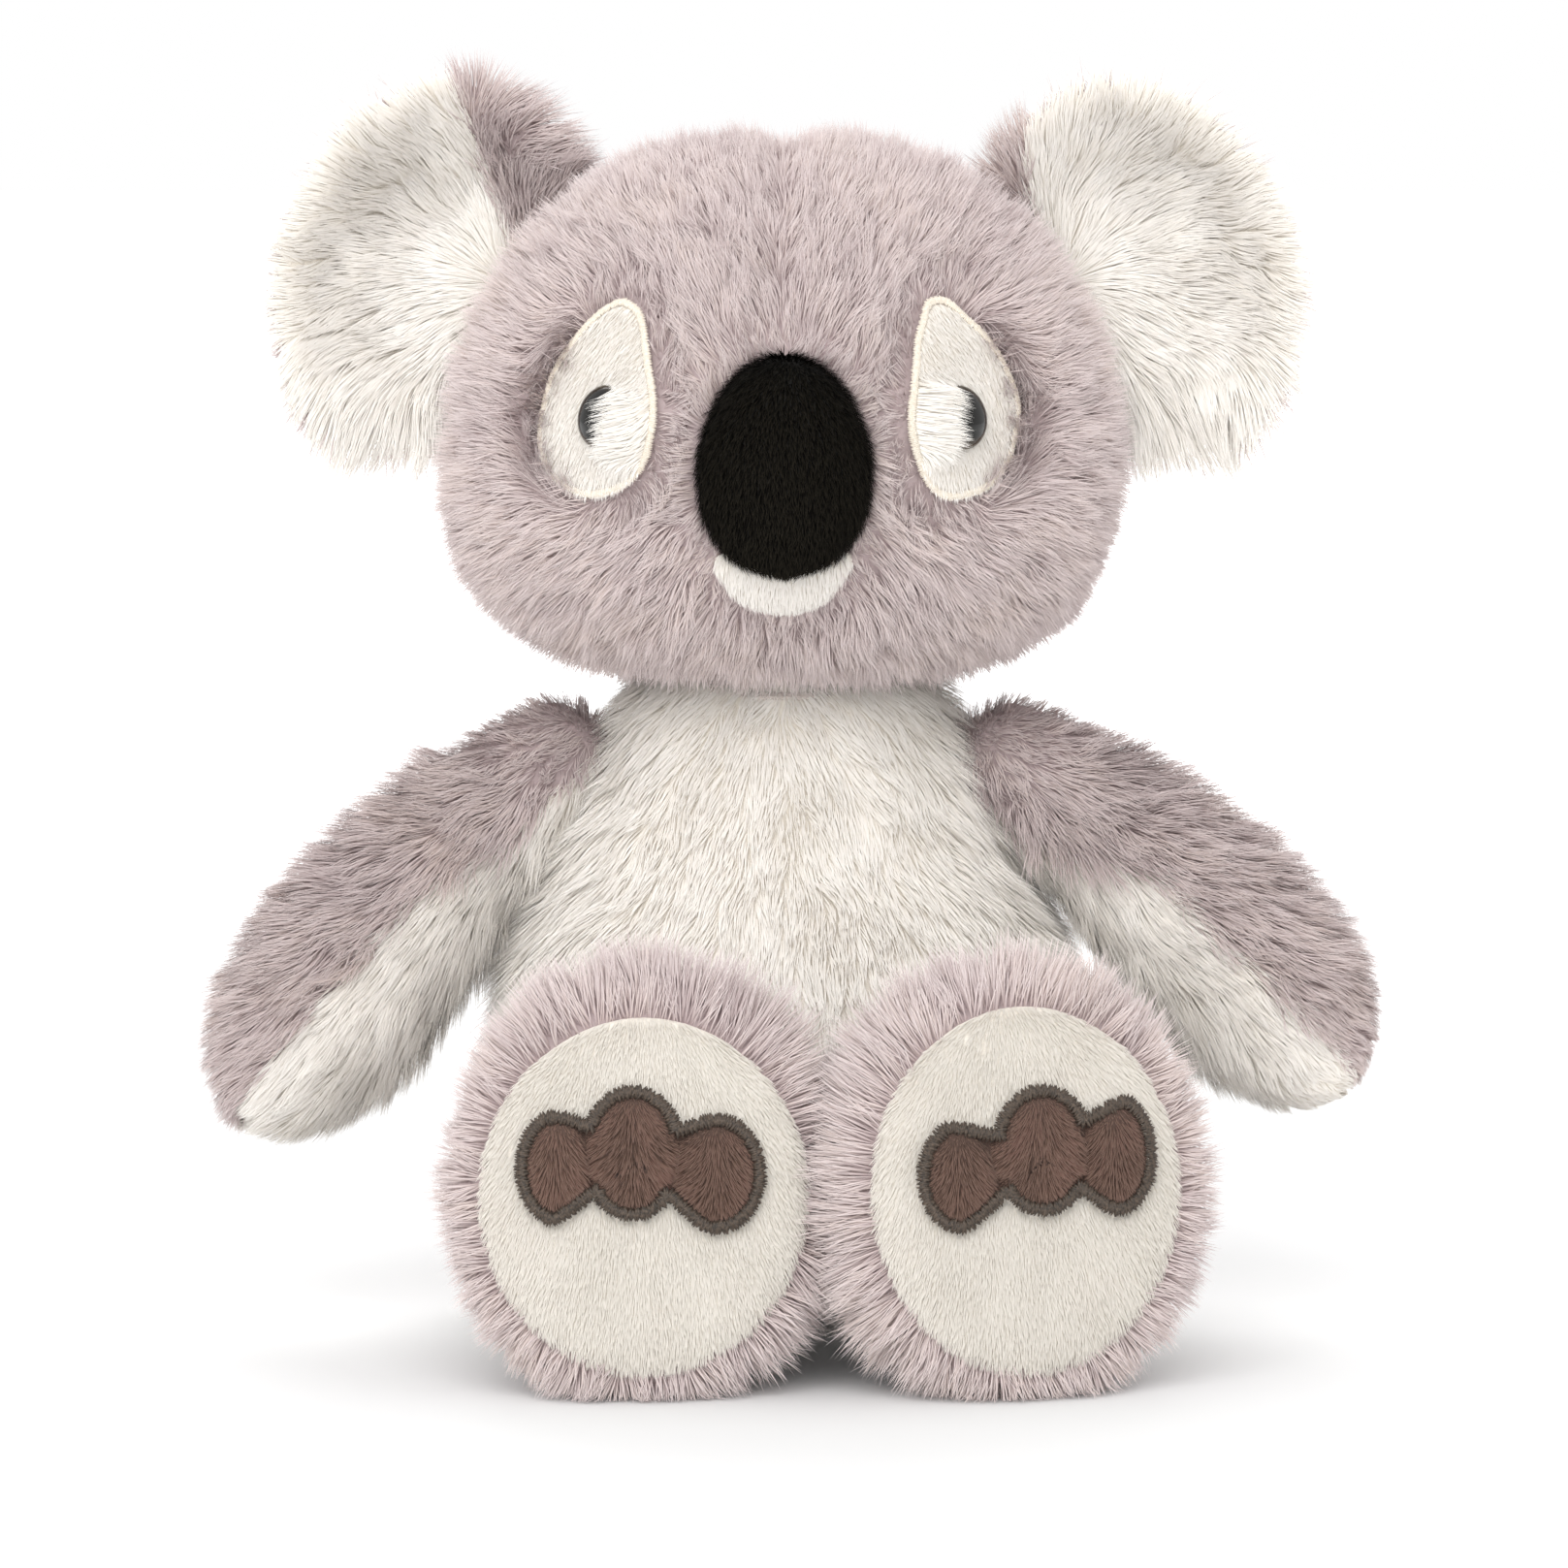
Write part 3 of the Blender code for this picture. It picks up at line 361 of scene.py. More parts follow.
def cloth_finish(name, colours):
    """Knitted backing, mottled by a fine grain."""
    material, maker = new_finish(name)
    place = maker.place()
    grains, patches = maker.noise(place, GRAIN_SCALE, 3.0), maker.noise(place, MOTTLE_SCALE)
    share = (grains * 0.6 + patches * 0.6 - 0.1).held()
    bump = maker.out("ShaderNodeBump", None, {"Strength": 0.5, "Distance": 0.0006, "Height": grains})
    close_finish(maker, mixed(maker, share, *map(linear, colours)), {"Roughness": 0.95, "Normal": bump})
    return material


FINISHES = {}
for name, colours in PILE_COLOURS.items():
    FINISHES[name] = pile_finish(name, colours, BLACK_SURFACE if name == "black_nap" else PILE_SURFACE)
for name, colours in BACKING_COLOURS.items():
    FINISHES[name] = cloth_finish(name, colours)
print("finishes:", sorted(FINISHES))

# %% [markdown]
# Thread shines a little, and its twist gives it a fine grain. The eye is a glossy cap, nearly black in the
# middle and brown towards its rim, where the plastic is thin. The washers behind it are pale plastic.

# %% Thread and plastic finishes
TWIST_SCALE = 2200.0
SCUFF_SCALE = 1500.0
FLOW_SCALE = 400.0
RIM_START = 0.72


def thread_finish(name, colour, light, sheen=0.2):
    material, maker = new_finish(name)
    place = maker.place()
    twist = maker.noise(place, TWIST_SCALE)
    bump = maker.out("ShaderNodeBump", None, {"Strength": 0.4, "Distance": 0.0002, "Height": twist})
    tone = mixed(maker, ((twist - 0.35) * 2.5).held(), linear(colour), linear(light))
    close_finish(maker, tone, {"Roughness": 0.55, "Normal": bump, "Sheen Weight": sheen})
    FINISHES[name] = material


def washer_finish(name, colour, other):
    material, maker = new_finish(name)
    place = maker.place()
    flow, scuffs = maker.noise(place, FLOW_SCALE), maker.noise(place, SCUFF_SCALE, 3.0)
    tone = mixed(maker, flow, linear(colour), linear(other))
    close_finish(maker, tone, {"Roughness": scuffs * 0.08 + 0.4})
    FINISHES[name] = material


def eye_finish(name, colour, edge):
    material, maker = new_finish(name)
    place = maker.place()
    rim = maker.number("ShaderNodeAttribute", {"attribute_name": "rim"}, None, "Fac")
    scuffs = maker.noise(place, SCUFF_SCALE, 3.0)
    tone = mixed(maker, ((rim - RIM_START) * 3.5).held(), linear(colour), linear(edge))
    close_finish(maker, tone, {"Roughness": scuffs * 0.06 + 0.05, "Specular IOR Level": 0.35})
    FINISHES[name] = material


thread_finish("cream_thread", (222, 211, 194), (243, 236, 224))
thread_finish("dark_thread", (44, 35, 27), (92, 77, 64), 0.05)
thread_finish("neck_thread", (190, 178, 172), (222, 212, 205))
eye_finish("eye_plastic", (14, 12, 9), (74, 60, 42))
washer_finish("washer_plastic", (214, 212, 206), (228, 226, 221))
print("all finishes:", len(FINISHES))

# %% [markdown]
# ## Skins
# A stuffed toy's cover is pushed out by its filling until the seams hold it. Each skin starts as a copy of
# the part's own solids, joined and remeshed to even faces, a little smaller than they are. A cloth
# simulation with air pressure then fills it, no point moving further than a cap, and a subdivision
# smooths it. The pile grows on this skin.

# %% Make a skin
VOXEL = 0.0035
SMOOTH_STEPS = 6
PUFF_FRAMES = 20
PUFF_CAP = 0.002
PUFF_PRESSURE = 4.0
WORK_LAYERS = ("tint", "along", "aside", "nap", "pile", "upper", "grow_", "across", "away")
scene = bpy.context.scene


def coordinates(mesh, kind="co"):
    values = np.empty(len(mesh.vertices) * 3)
    mesh.vertices.foreach_get(kind, values)
    return values.reshape(-1, 3)


def set_coordinates(mesh, points):
    mesh.vertices.foreach_set("co", np.asarray(points, float).ravel())
    mesh.update()


def surface(mesh):
    """The points of a mesh and the outward direction at each."""
    return coordinates(mesh), coordinates(mesh, "normal")


def shade_smooth(mesh):
    mesh.polygons.foreach_set("use_smooth", [True] * len(mesh.polygons))


def strip(mesh):
    """Removes the layers that only the making needed."""
    for layer in [a.name for a in mesh.attributes if a.name.startswith(WORK_LAYERS)]:
        mesh.attributes.remove(mesh.attributes[layer])


def new_object(name, mesh):
    made = bpy.data.objects.new(name, mesh)
    scene.collection.objects.link(made)
    return made


def settle(obj):
    """Turns an object's modifiers into its mesh."""
    bpy.context.view_layer.update()
    result = bpy.data.meshes.new_from_object(obj.evaluated_get(bpy.context.evaluated_depsgraph_get()))
    obj.modifiers.clear()
    old, obj.data = obj.data, result
    bpy.data.meshes.remove(old)
    obj.data.name = obj.name


def joined_copy(name, nodes):
    """One mesh of copies of these solids, its doubled corners merged."""
    work = bmesh.new()
    for node in nodes:
        work.from_mesh(NODES[node].data)
    bmesh.ops.remove_doubles(work, verts=work.verts, dist=1e-5)
    mesh = bpy.data.meshes.new(name)
    work.to_mesh(mesh)
    work.free()
    return new_object(name, mesh)


def keep_outside(mesh):
    """Removes every loose shell but the one with most faces."""
    work = bmesh.new()
    work.from_mesh(mesh)
    left, shells = set(work.faces), []
    while left:
        shell, queue = set(), [left.pop()]
        while queue:
            face = queue.pop()
            shell.add(face)
            near = {f for edge in face.edges for f in edge.link_faces} & left
            left -= near
            queue.extend(near)
        shells.append(shell)
    shells.sort(key=len)
    for shell in shells[:-1]:
        bmesh.ops.delete(work, geom=list(shell), context="FACES")
    work.to_mesh(mesh)
    work.free()
    return len(shells)


def fill_with_air(obj, cap):
    """Cloth under pressure, its movement capped."""
    start = coordinates(obj.data)
    cloth = obj.modifiers.new("air", "CLOTH")
    cloth.settings.use_pressure = True
    cloth.settings.uniform_pressure_force = PUFF_PRESSURE
    cloth.settings.effector_weights.gravity = 0
    cloth.settings.quality = 3
    cloth.point_cache.frame_start = 1
    cloth.point_cache.frame_end = PUFF_FRAMES
    for moment in range(1, PUFF_FRAMES + 1):
        scene.frame_set(moment)
    evaluated = obj.evaluated_get(bpy.context.evaluated_depsgraph_get())
    moved = coordinates(evaluated.data) - start
    far = np.linalg.norm(moved, axis=1, keepdims=True)
    obj.modifiers.clear()
    scene.frame_set(1)
    set_coordinates(obj.data, start + moved * np.minimum(1, cap / np.maximum(far, 1e-9)))
    return float(far.mean())


def make_skin(name, nodes, voxel=VOXEL, cap=PUFF_CAP):
    skin = joined_copy(name, nodes)
    remesh = skin.modifiers.new("even", "REMESH")
    remesh.mode = "VOXEL"
    remesh.voxel_size = voxel
    settle(skin)
    shells = keep_outside(skin.data)
    smooth = skin.modifiers.new("smooth", "SMOOTH")
    smooth.iterations = SMOOTH_STEPS
    settle(skin)
    moved = fill_with_air(skin, cap)
    finer = skin.modifiers.new("finer", "SUBSURF")
    finer.levels = finer.render_levels = 1
    settle(skin)
    faces = len(skin.data.polygons)
    print(name, "faces", faces, "shells", shells, "mean push in mm", round(moved * 1000, 2))
    return skin


SKIN_NODES = {
    "head_padding": ["head_face_left", "head_face_right", "head_back", "head_stuffing"],
    "torso_padding": ["torso_belly", "torso_back", "torso_stuffing"],
}
for side in SIDES:
    SKIN_NODES[f"arm_{side}_padding"] = [f"arm_{side}_outer", f"arm_{side}_inner", f"arm_{side}_stuffing"]
    SKIN_NODES[f"leg_{side}_padding"] = [f"leg_{side}_cover", f"leg_{side}_stuffing", f"sole_{side}"]
    SKIN_NODES[f"ear_{side}_padding"] = [f"ear_front_{side}", f"ear_back_{side}"]
EAR_SIZES = (0.0024, 0.001)
SKINS = {}
for name, nodes in SKIN_NODES.items():
    SKINS[name] = make_skin(name, nodes, *(EAR_SIZES if name.startswith("ear") else ()))

# %% [markdown]
# ## Shaping the head
# The two face halves meet in a seam from the crown to the nose, which pulls the plush in a little. The eyes
# are pulled back by their washers, and the muzzle swells beside them, so from the front the swelling
# hides the inner half of each eye. Both are small moves of the skin's points, which fade out with distance.

# %% Seam and muzzle swellings
SEAM_DEPTH = 0.0007
SEAM_WIDTH = 0.0035
SWELL_RISE = 0.0042
SWELL_WIDTH = 0.0075
SWELL_ASIDE = 34
FOREHEAD_ROW = 380
EYE_PIXELS = {"left": (621, 436), "right": (989, 428)}
SIGNS = {"left": -1, "right": 1}
MIDDLE_X = MIDDLE.x


def tree_of(obj):
    """A search tree of a mesh's faces."""
    work = bmesh.new()
    work.from_mesh(obj.data)
    tree = BVHTree.FromBMesh(work)
    work.free()
    return tree


def place_seen(tree, px, py):
    """The point and the outward direction of the surface that a pixel shows."""
    return tree.ray_cast(EYE_POINT, sight_line(px, py))[:2]


def faded(distance, width):
    return np.exp(-(np.asarray(distance) / width) ** 2)


def far_from(points, place):
    return np.linalg.norm(points - np.array(place), axis=1)


head = SKINS["head_padding"].data
head_tree = tree_of(SKINS["head_padding"])
points, outward = surface(head)
_, rows = seen_at(points)
on_forehead = (rows < FOREHEAD_ROW) & (points[:, 1] < MIDDLE.y + 0.03)
moved = -outward * (SEAM_DEPTH * faded(points[:, 0] - MIDDLE_X, SEAM_WIDTH) * on_forehead)[:, None]
for side in SIDES:
    px, py = EYE_PIXELS[side]
    swell, _ = place_seen(head_tree, px - SIGNS[side] * SWELL_ASIDE, py)
    share = SWELL_RISE * faded(far_from(points, swell), SWELL_WIDTH)
    moved += share[:, None] * TOWARDS
set_coordinates(head, points + moved)
print("furthest move in mm:", round(float(np.linalg.norm(moved, axis=1).max()) * 1000, 2))

# %% [markdown]
# ## Fuller arms and sides
# In the photograph the shoulders are plump and sit high against the head. Each arm's skin is pushed up and
# out near its root. The body's sides swell to meet the arms.

# %% Arms and sides
SIDE_SWELL = 0.0040
SIDE_LOW = 0.045
SHOULDER_SWELL = 0.0030
SHOULDER_REACH = 0.045
JOINTS = {joint["name"]: np.array(joint["pos_m"]) for joint in frame["joints"]}
torso = SKINS["torso_padding"].data
points, outward = surface(torso)
sideways = np.clip((np.abs(outward[:, 0]) - 0.2) / 0.6, 0, 1)
sideways *= np.clip((points[:, 2] - SIDE_LOW) / 0.02, 0, 1)
sideways *= np.clip((0.7 - outward[:, 1]) / 0.5, 0, 1)
points[:, 0] += np.sign(outward[:, 0]) * SIDE_SWELL * sideways
set_coordinates(torso, points)
for side in SIDES:
    arm = SKINS[f"arm_{side}_padding"].data
    points, outward = surface(arm)
    way = np.array((SIGNS[side] * 0.75, 0, 0.66))
    top = JOINTS[f"arm_{side}_raise"] + np.array((SIGNS[side] * 0.030, 0, -0.018))
    swell = SHOULDER_SWELL * np.clip(outward @ way, 0, 1) * faded(far_from(points, top), SHOULDER_REACH)
    set_coordinates(arm, points + swell[:, None] * way)
    print("arm", side, "swells by mm", round(float(swell.max()) * 1000, 2))

# %% [markdown]
# ## Which plush grows where
# Every point of a skin asks which panel of the solids is nearest. That gives each point its colour. Where
# two parts press together no pile grows, because nobody sees it. The pile also has a nap, the way it is
# combed: away from the nose on the head, down the body, along the arms, and out from the soles.

# %% Masks and nap helpers
PRESSED = 0.0025


def node_tree(name):
    return tree_of(NODES[name])


def gaps_to(tree, points):
    return np.array([tree.find_nearest(Vector(p))[3] for p in points])


def unit(vectors):
    return vectors / np.maximum(np.linalg.norm(vectors, axis=1, keepdims=True), 1e-9)


def laid_on(normals, vectors):
    """Directions turned into the surface."""
    return unit(vectors - normals * (vectors * normals).sum(1)[:, None])


def store(mesh, name, values):
    values = np.asarray(values, np.float32)
    kind = "FLOAT_VECTOR" if values.ndim == 2 else "FLOAT"
    layer = mesh.attributes.get(name) or mesh.attributes.new(name, kind, "POINT")
    layer.data.foreach_set("vector" if values.ndim == 2 else "value", values.ravel())


def step(values, low, high):
    """0 below low, 1 above high, smooth between."""
    share = np.clip((np.asarray(values, float) - low) / (high - low), 0, 1)
    return share * share * (3 - 2 * share)


def depth_in(tree, points):
    """How far each point is inside a closed shape, below 0 outside it."""
    found = []
    for p in points:
        near, normal, _, gap = tree.find_nearest(Vector(p))
        found.append(gap if (Vector(p) - near).dot(normal) < 0 else -gap)
    return np.array(found)


def smooth_outline(table, count):
    """Even points on a closed smooth curve through a short table of pixels."""
    corners = np.array(table, float)
    fine = []
    for i in range(len(corners)):
        a, b, c, d = (corners[(i + k) % len(corners)] for k in (-1, 0, 1, 2))
        for t in np.linspace(0, 1, 12, endpoint=False):
            fine.append(0.5 * (2 * b + (c - a) * t + (2 * a - 5 * b + 4 * c - d) * t * t
                               + (3 * b - a - 3 * c + d) * t ** 3))
    fine = np.array(fine + fine[:1])
    run = np.concatenate([[0], np.cumsum(np.linalg.norm(np.diff(fine, axis=0), axis=1))])
    steps = np.linspace(0, run[-1], count, endpoint=False)
    return np.stack([np.interp(steps, run, fine[:, k]) for k in (0, 1)], axis=1)


def inside(outline, px, py):
    """Whether each pixel lies in a closed outline."""
    crossings = np.zeros(len(px), int)
    for (ax, ay), (bx, by) in zip(outline, np.roll(outline, -1, axis=0)):
        over = (ay > py) != (by > py)
        if ay != by:
            crossings += over & (px < (bx - ax) * (py - ay) / (by - ay) + ax)
    return crossings % 2 == 1


def gap_to_outline(outline, px, py):
    """Pixels from each point to the nearest of the outline's points."""
    away = np.hypot(px[:, None] - outline[None, :, 0], py[:, None] - outline[None, :, 1])
    return away.min(1)


print("half way up a step from 0 to 1:", float(step(0.5, 0, 1)))

# %% [markdown]
# The outlines of the sewn-on pieces are short tables of pixels read off the photograph. Egg
# shapes need only a middle and two radii. The toe pads are three lobes sewn as one piece.

# %% Outlines of the patches
EYE_PATCH_PIXELS = {
    "left": [(650, 316), (666, 333), (673, 388), (675, 422), (672, 451), (667, 474), (653, 494), (633, 505),
             (613, 508), (593, 501), (576, 488), (567, 468), (565, 445), (569, 419), (576, 393), (588, 370),
             (605, 347), (625, 327), (642, 317)],
    "right": [(953, 317), (970, 315), (992, 334), (1008, 349), (1021, 366), (1031, 385), (1040, 408),
              (1042, 429), (1038, 454), (1031, 476), (1014, 498), (993, 507), (975, 510), (961, 505),
              (949, 489), (942, 465), (939, 440), (941, 388), (942, 358), (948, 333)],
}
SOLE_PIXELS = {"left": (663.5, 1231, 165, 181), "right": (1057, 1225, 154, 186)}
TOE_PIXELS = {
    "left": [(574, 1204, 35, 52), (652, 1189, 48, 63), (738, 1210, 43, 55)],
    "right": [(987, 1213, 36, 51), (1072, 1186, 47, 61), (1149, 1191, 33, 55)],
}
NOSE_PIXELS = (808, 484, 92, 116)
CHIN_PIXELS = [(737, 570), (745, 593), (760, 610), (782, 620), (808, 624), (834, 620), (856, 608),
               (871, 588), (879, 567), (850, 562), (808, 560), (766, 562)]


def egg(middle_x, middle_y, across, high, count):
    turn = np.linspace(0, 2 * math.pi, count, endpoint=False)
    return np.stack([middle_x + across * np.cos(turn), middle_y + high * np.sin(turn)], axis=1)


def lobes_outline(lobes, count, grow=0):
    """The outline round overlapping eggs, seen from the middle one."""
    middle_x, middle_y = lobes[1][:2]
    turn = np.linspace(0, 2 * math.pi, count, endpoint=False)
    reach = np.zeros(count)
    for lx, ly, across, high in lobes:
        dx, dy = np.cos(turn) / (across + grow), np.sin(turn) / (high + grow)
        ox, oy = (middle_x - lx) / (across + grow), (middle_y - ly) / (high + grow)
        b, c, a = dx * ox + dy * oy, ox * ox + oy * oy - 1, dx * dx + dy * dy
        room = b * b - a * c
        hit = np.where(room > 0, (-b + np.sqrt(np.maximum(room, 0))) / a, 0)
        reach = np.maximum(reach, hit)
    rim = np.stack([middle_x + reach * np.cos(turn), middle_y + reach * np.sin(turn)], axis=1)
    return smooth_outline(rim[::2], count)


EYE_PATCHES = {side: smooth_outline(EYE_PATCH_PIXELS[side], 72) for side in SIDES}
SOLES = {side: egg(*SOLE_PIXELS[side], 96) for side in SIDES}
TOES = {side: lobes_outline(TOE_PIXELS[side], 160) for side in SIDES}
NOSE = egg(*NOSE_PIXELS, 64)
CHIN = smooth_outline(CHIN_PIXELS, 64)
print("toe pads reach", TOES["left"].min(0).round(), TOES["left"].max(0).round())

# %% Panels and nap of the head
# Pixels, as distances from an outline or as places, between which an effect starts and is full.
SHORT_CHEEK = {"columns": (1080, 1130), "rows": (480, 560)}
OUTER_HALF = (0, 35)
LASH_REACH, PARTED_REACH = (46, 6), (60, 12)
PATCH_MARGIN, PATCH_BORDER = 1, 6
COVERED = ((NOSE, 6), (CHIN, 4))
SHORT_REACH = (45, 8)
# Metres, upwards and backwards.
LOW_FACE = (0.17, 0.14)
TURN_BACK = (MIDDLE.y + 0.005, MIDDLE.y + 0.03)
FACE_DEPTH = MIDDLE.y + 0.004
mesh = SKINS["head_padding"].data
points, outward = surface(mesh)
columns, rows = seen_at(points)
towards = outward @ TOWARDS
nap = unit(points - np.array(place_seen(head_tree, *NOSE_PIXELS[:2])[0]))
nap[:, 2] -= 0.35 * step(points[:, 2], *LOW_FACE)
behind = step(points[:, 1], *TURN_BACK)
nap = nap * (1 - behind[:, None]) + np.array((0, 0.3, -0.95)) * behind[:, None]
from_seam = points[:, 0] - MIDDLE_X
nap[:, 0] += 0.5 * np.sign(from_seam) * faded(from_seam, 0.006) * (rows < FOREHEAD_ROW)
grow = np.ones(len(points))
pile = 1 - 0.25 * faded(from_seam, 0.003) * (rows < FOREHEAD_ROW)
pile *= 1 - 0.35 * step(columns, *SHORT_CHEEK["columns"]) * step(rows, *SHORT_CHEEK["rows"])
head_tree = tree_of(SKINS["head_padding"])
for side, sign in SIGNS.items():
    outline = EYE_PATCHES[side]
    within = inside(outline, columns, rows) & (towards > 0)
    near = gap_to_outline(outline, columns, rows)
    outer = step(sign * (columns - outline.mean(0)[0]), *OUTER_HALF) * (towards > -0.2) * (~within)
    eye_point = np.array(place_seen(head_tree, *EYE_PIXELS[side])[0])
    lash = 0.9 * step(near, *LASH_REACH) * outer
    parted = step(near, *PARTED_REACH) * (1 - outer) * (towards > 0)
    nap = nap * (1 - lash - parted)[:, None] + unit(eye_point - points) * (lash - parted)[:, None]
    pile *= 1 - 0.5 * parted
    bare = within & (near > PATCH_MARGIN) | (near < PATCH_BORDER) & (outer < 0.5)
    grow *= ~(bare & (towards > 0))
for outline, margin in COVERED:
    covered = inside(outline, columns, rows) & (towards > 0) & (points[:, 1] < MIDDLE.y)
    near = gap_to_outline(outline, columns, rows)
    grow *= ~(covered & (near > margin))
    pile *= 1 - 0.6 * step(near, *SHORT_REACH) * (towards > 0) * (~covered)
torso_tree = tree_of(SKINS["torso_padding"])
grow *= depth_in(torso_tree, points) < -PRESSED
front = points[:, 1] < FACE_DEPTH
store(mesh, "nap", laid_on(outward, nap))
store(mesh, "pile", pile)
store(mesh, "grow_face_left", grow * front * (from_seam < 0))
store(mesh, "grow_face_right", grow * front * (from_seam >= 0))
store(mesh, "grow_back", grow * ~front)
print("head points with pile:", int(grow.sum()), "of", len(grow))

# %% Panels and nap of the body
mesh = SKINS["torso_padding"].data
points, outward = surface(mesh)
belly = gaps_to(node_tree("torso_belly"), points) <= gaps_to(node_tree("torso_back"), points)
nap = np.stack([10 * (points[:, 0] - MIDDLE_X), np.zeros(len(points)), -np.ones(len(points))], axis=1)
nap[:, 0] += np.sign(outward[:, 0]) * 0.5 * step(points[:, 2], 0.1, 0.125)
grow = (points[:, 2] > 0.002) & (depth_in(head_tree, points) < PRESSED)
for part in ("arm_left", "arm_right", "leg_left", "leg_right"):
    grow &= depth_in(tree_of(SKINS[part + "_padding"]), points) < PRESSED
beside = step(np.abs(outward[:, 0]), 0.35, 0.85) * step(outward[:, 1], 0.6, 0.1)
at_back = step(outward[:, 1], 0.2, 0.6)
store(mesh, "nap", laid_on(outward, nap))
store(mesh, "pile", (0.72 + 0.9 * beside) * (1 - 0.12 * at_back))
store(mesh, "grow_belly", grow * belly)
store(mesh, "grow_back", grow * ~belly)
print("body points with pile:", int(grow.sum()), "of", len(grow))

# %% Panels and nap of the arms
SHOULDER_CAP = {"left": 0.0055, "right": 0.010}
ARM_END_SHORT = {"left": 0.35, "right": 0.85}
for side, sign in SIGNS.items():
    mesh = SKINS[f"arm_{side}_padding"].data
    points, outward = surface(mesh)
    outer_gap = gaps_to(node_tree(f"arm_{side}_outer"), points)
    inner_gap = gaps_to(node_tree(f"arm_{side}_inner"), points)
    shoulder = JOINTS[f"arm_{side}_raise"]
    far = points[np.argmax(far_from(points, shoulder))]
    along = unit((far - shoulder)[None])[0]
    nap = np.tile(along, (len(points), 1)) + 0.4 * unit(points - (shoulder + far) / 2)
    store(mesh, "nap", laid_on(outward, nap))
    run = (points - shoulder) @ along / np.linalg.norm(far - shoulder)
    bodywards = step(-sign * outward[:, 0], 0.0, 0.7) * step(run, 0.85, 0.6)
    length = 1.15 + 0.5 * bodywards - ARM_END_SHORT[side] * step(run, 0.72, 1.0)
    store(mesh, "pile", length * (0.45 + 0.55 * step(run, 0.02, 0.16)))
    grow = depth_in(torso_tree, points) < PRESSED
    outer = outer_gap - inner_gap <= SHOULDER_CAP[side] * step(run, 0.40, 0.1)
    store(mesh, "grow_outer", grow * outer)
    store(mesh, "grow_inner", grow * ~outer)
    print("arm", side, "reaches", np.round(far, 4))

# %% Panels and nap of the legs
BETWEEN_REACH = (60, 150)
SOLE_REACH, SOLE_MARGIN = (22, 4), 5
RUFF_RISE = (0.012, 0.035)
for side, sign in SIGNS.items():
    skin = SKINS[f"leg_{side}_padding"]
    mesh = skin.data
    points, outward = surface(mesh)
    columns, rows = seen_at(points)
    towards = outward @ TOWARDS
    sole_point = np.array(place_seen(tree_of(skin), *SOLE_PIXELS[side][:2])[0])
    nap = unit(points - sole_point)
    nap[:, 1] = nap[:, 1] * 0.5 + 0.35
    sole = inside(SOLES[side], columns, rows) & (towards > 0.3)
    edge = gap_to_outline(SOLES[side], columns, rows)
    above = step(points[:, 2] - sole_point[2], *RUFF_RISE)
    between = step(-sign * (columns - SOLE_PIXELS[side][0]), *BETWEEN_REACH)
    length = 1 + 0.35 * above + 0.45 * between
    store(mesh, "nap", laid_on(outward, nap))
    store(mesh, "pile", length * (1 - 0.3 * (towards > 0.2) * step(edge, *SOLE_REACH)))
    grow = (depth_in(torso_tree, points) < PRESSED) & ~(sole & (edge > SOLE_MARGIN))
    store(mesh, "grow_cover", grow)
    print("leg", side, "sole seen at", np.round(sole_point, 4))

# %% [markdown]
# An ear is two panels sewn into a cup. The white front faces the viewer. Near the head the cup turns, so
# the grey back panel shows at the upper inner corner. A short line of pixels says where it starts.

# %% Panels and nap of the ears
EAR_LOW = 0.186
EAR_DROP = 0.0045
EAR_DROP_HEIGHT = 0.014
EAR_RIM = (0.006, 0.002)
CORNER_REACH, CORNER_ROWS = (0, 60), (220, 150)
OUTER_COLUMNS, OUTER_TOP_ROW = (440, 500), 90
EAR_TURN_PIXELS = {"left": [(440, 40), (470, 90), (498, 165), (520, 235), (545, 300)],
                   "right": [(1075, 40), (1062, 110), (1060, 180), (1072, 250), (1092, 310)]}


def blended(way, other, share):
    return way * (1 - share)[:, None] + np.array(other) * share[:, None]


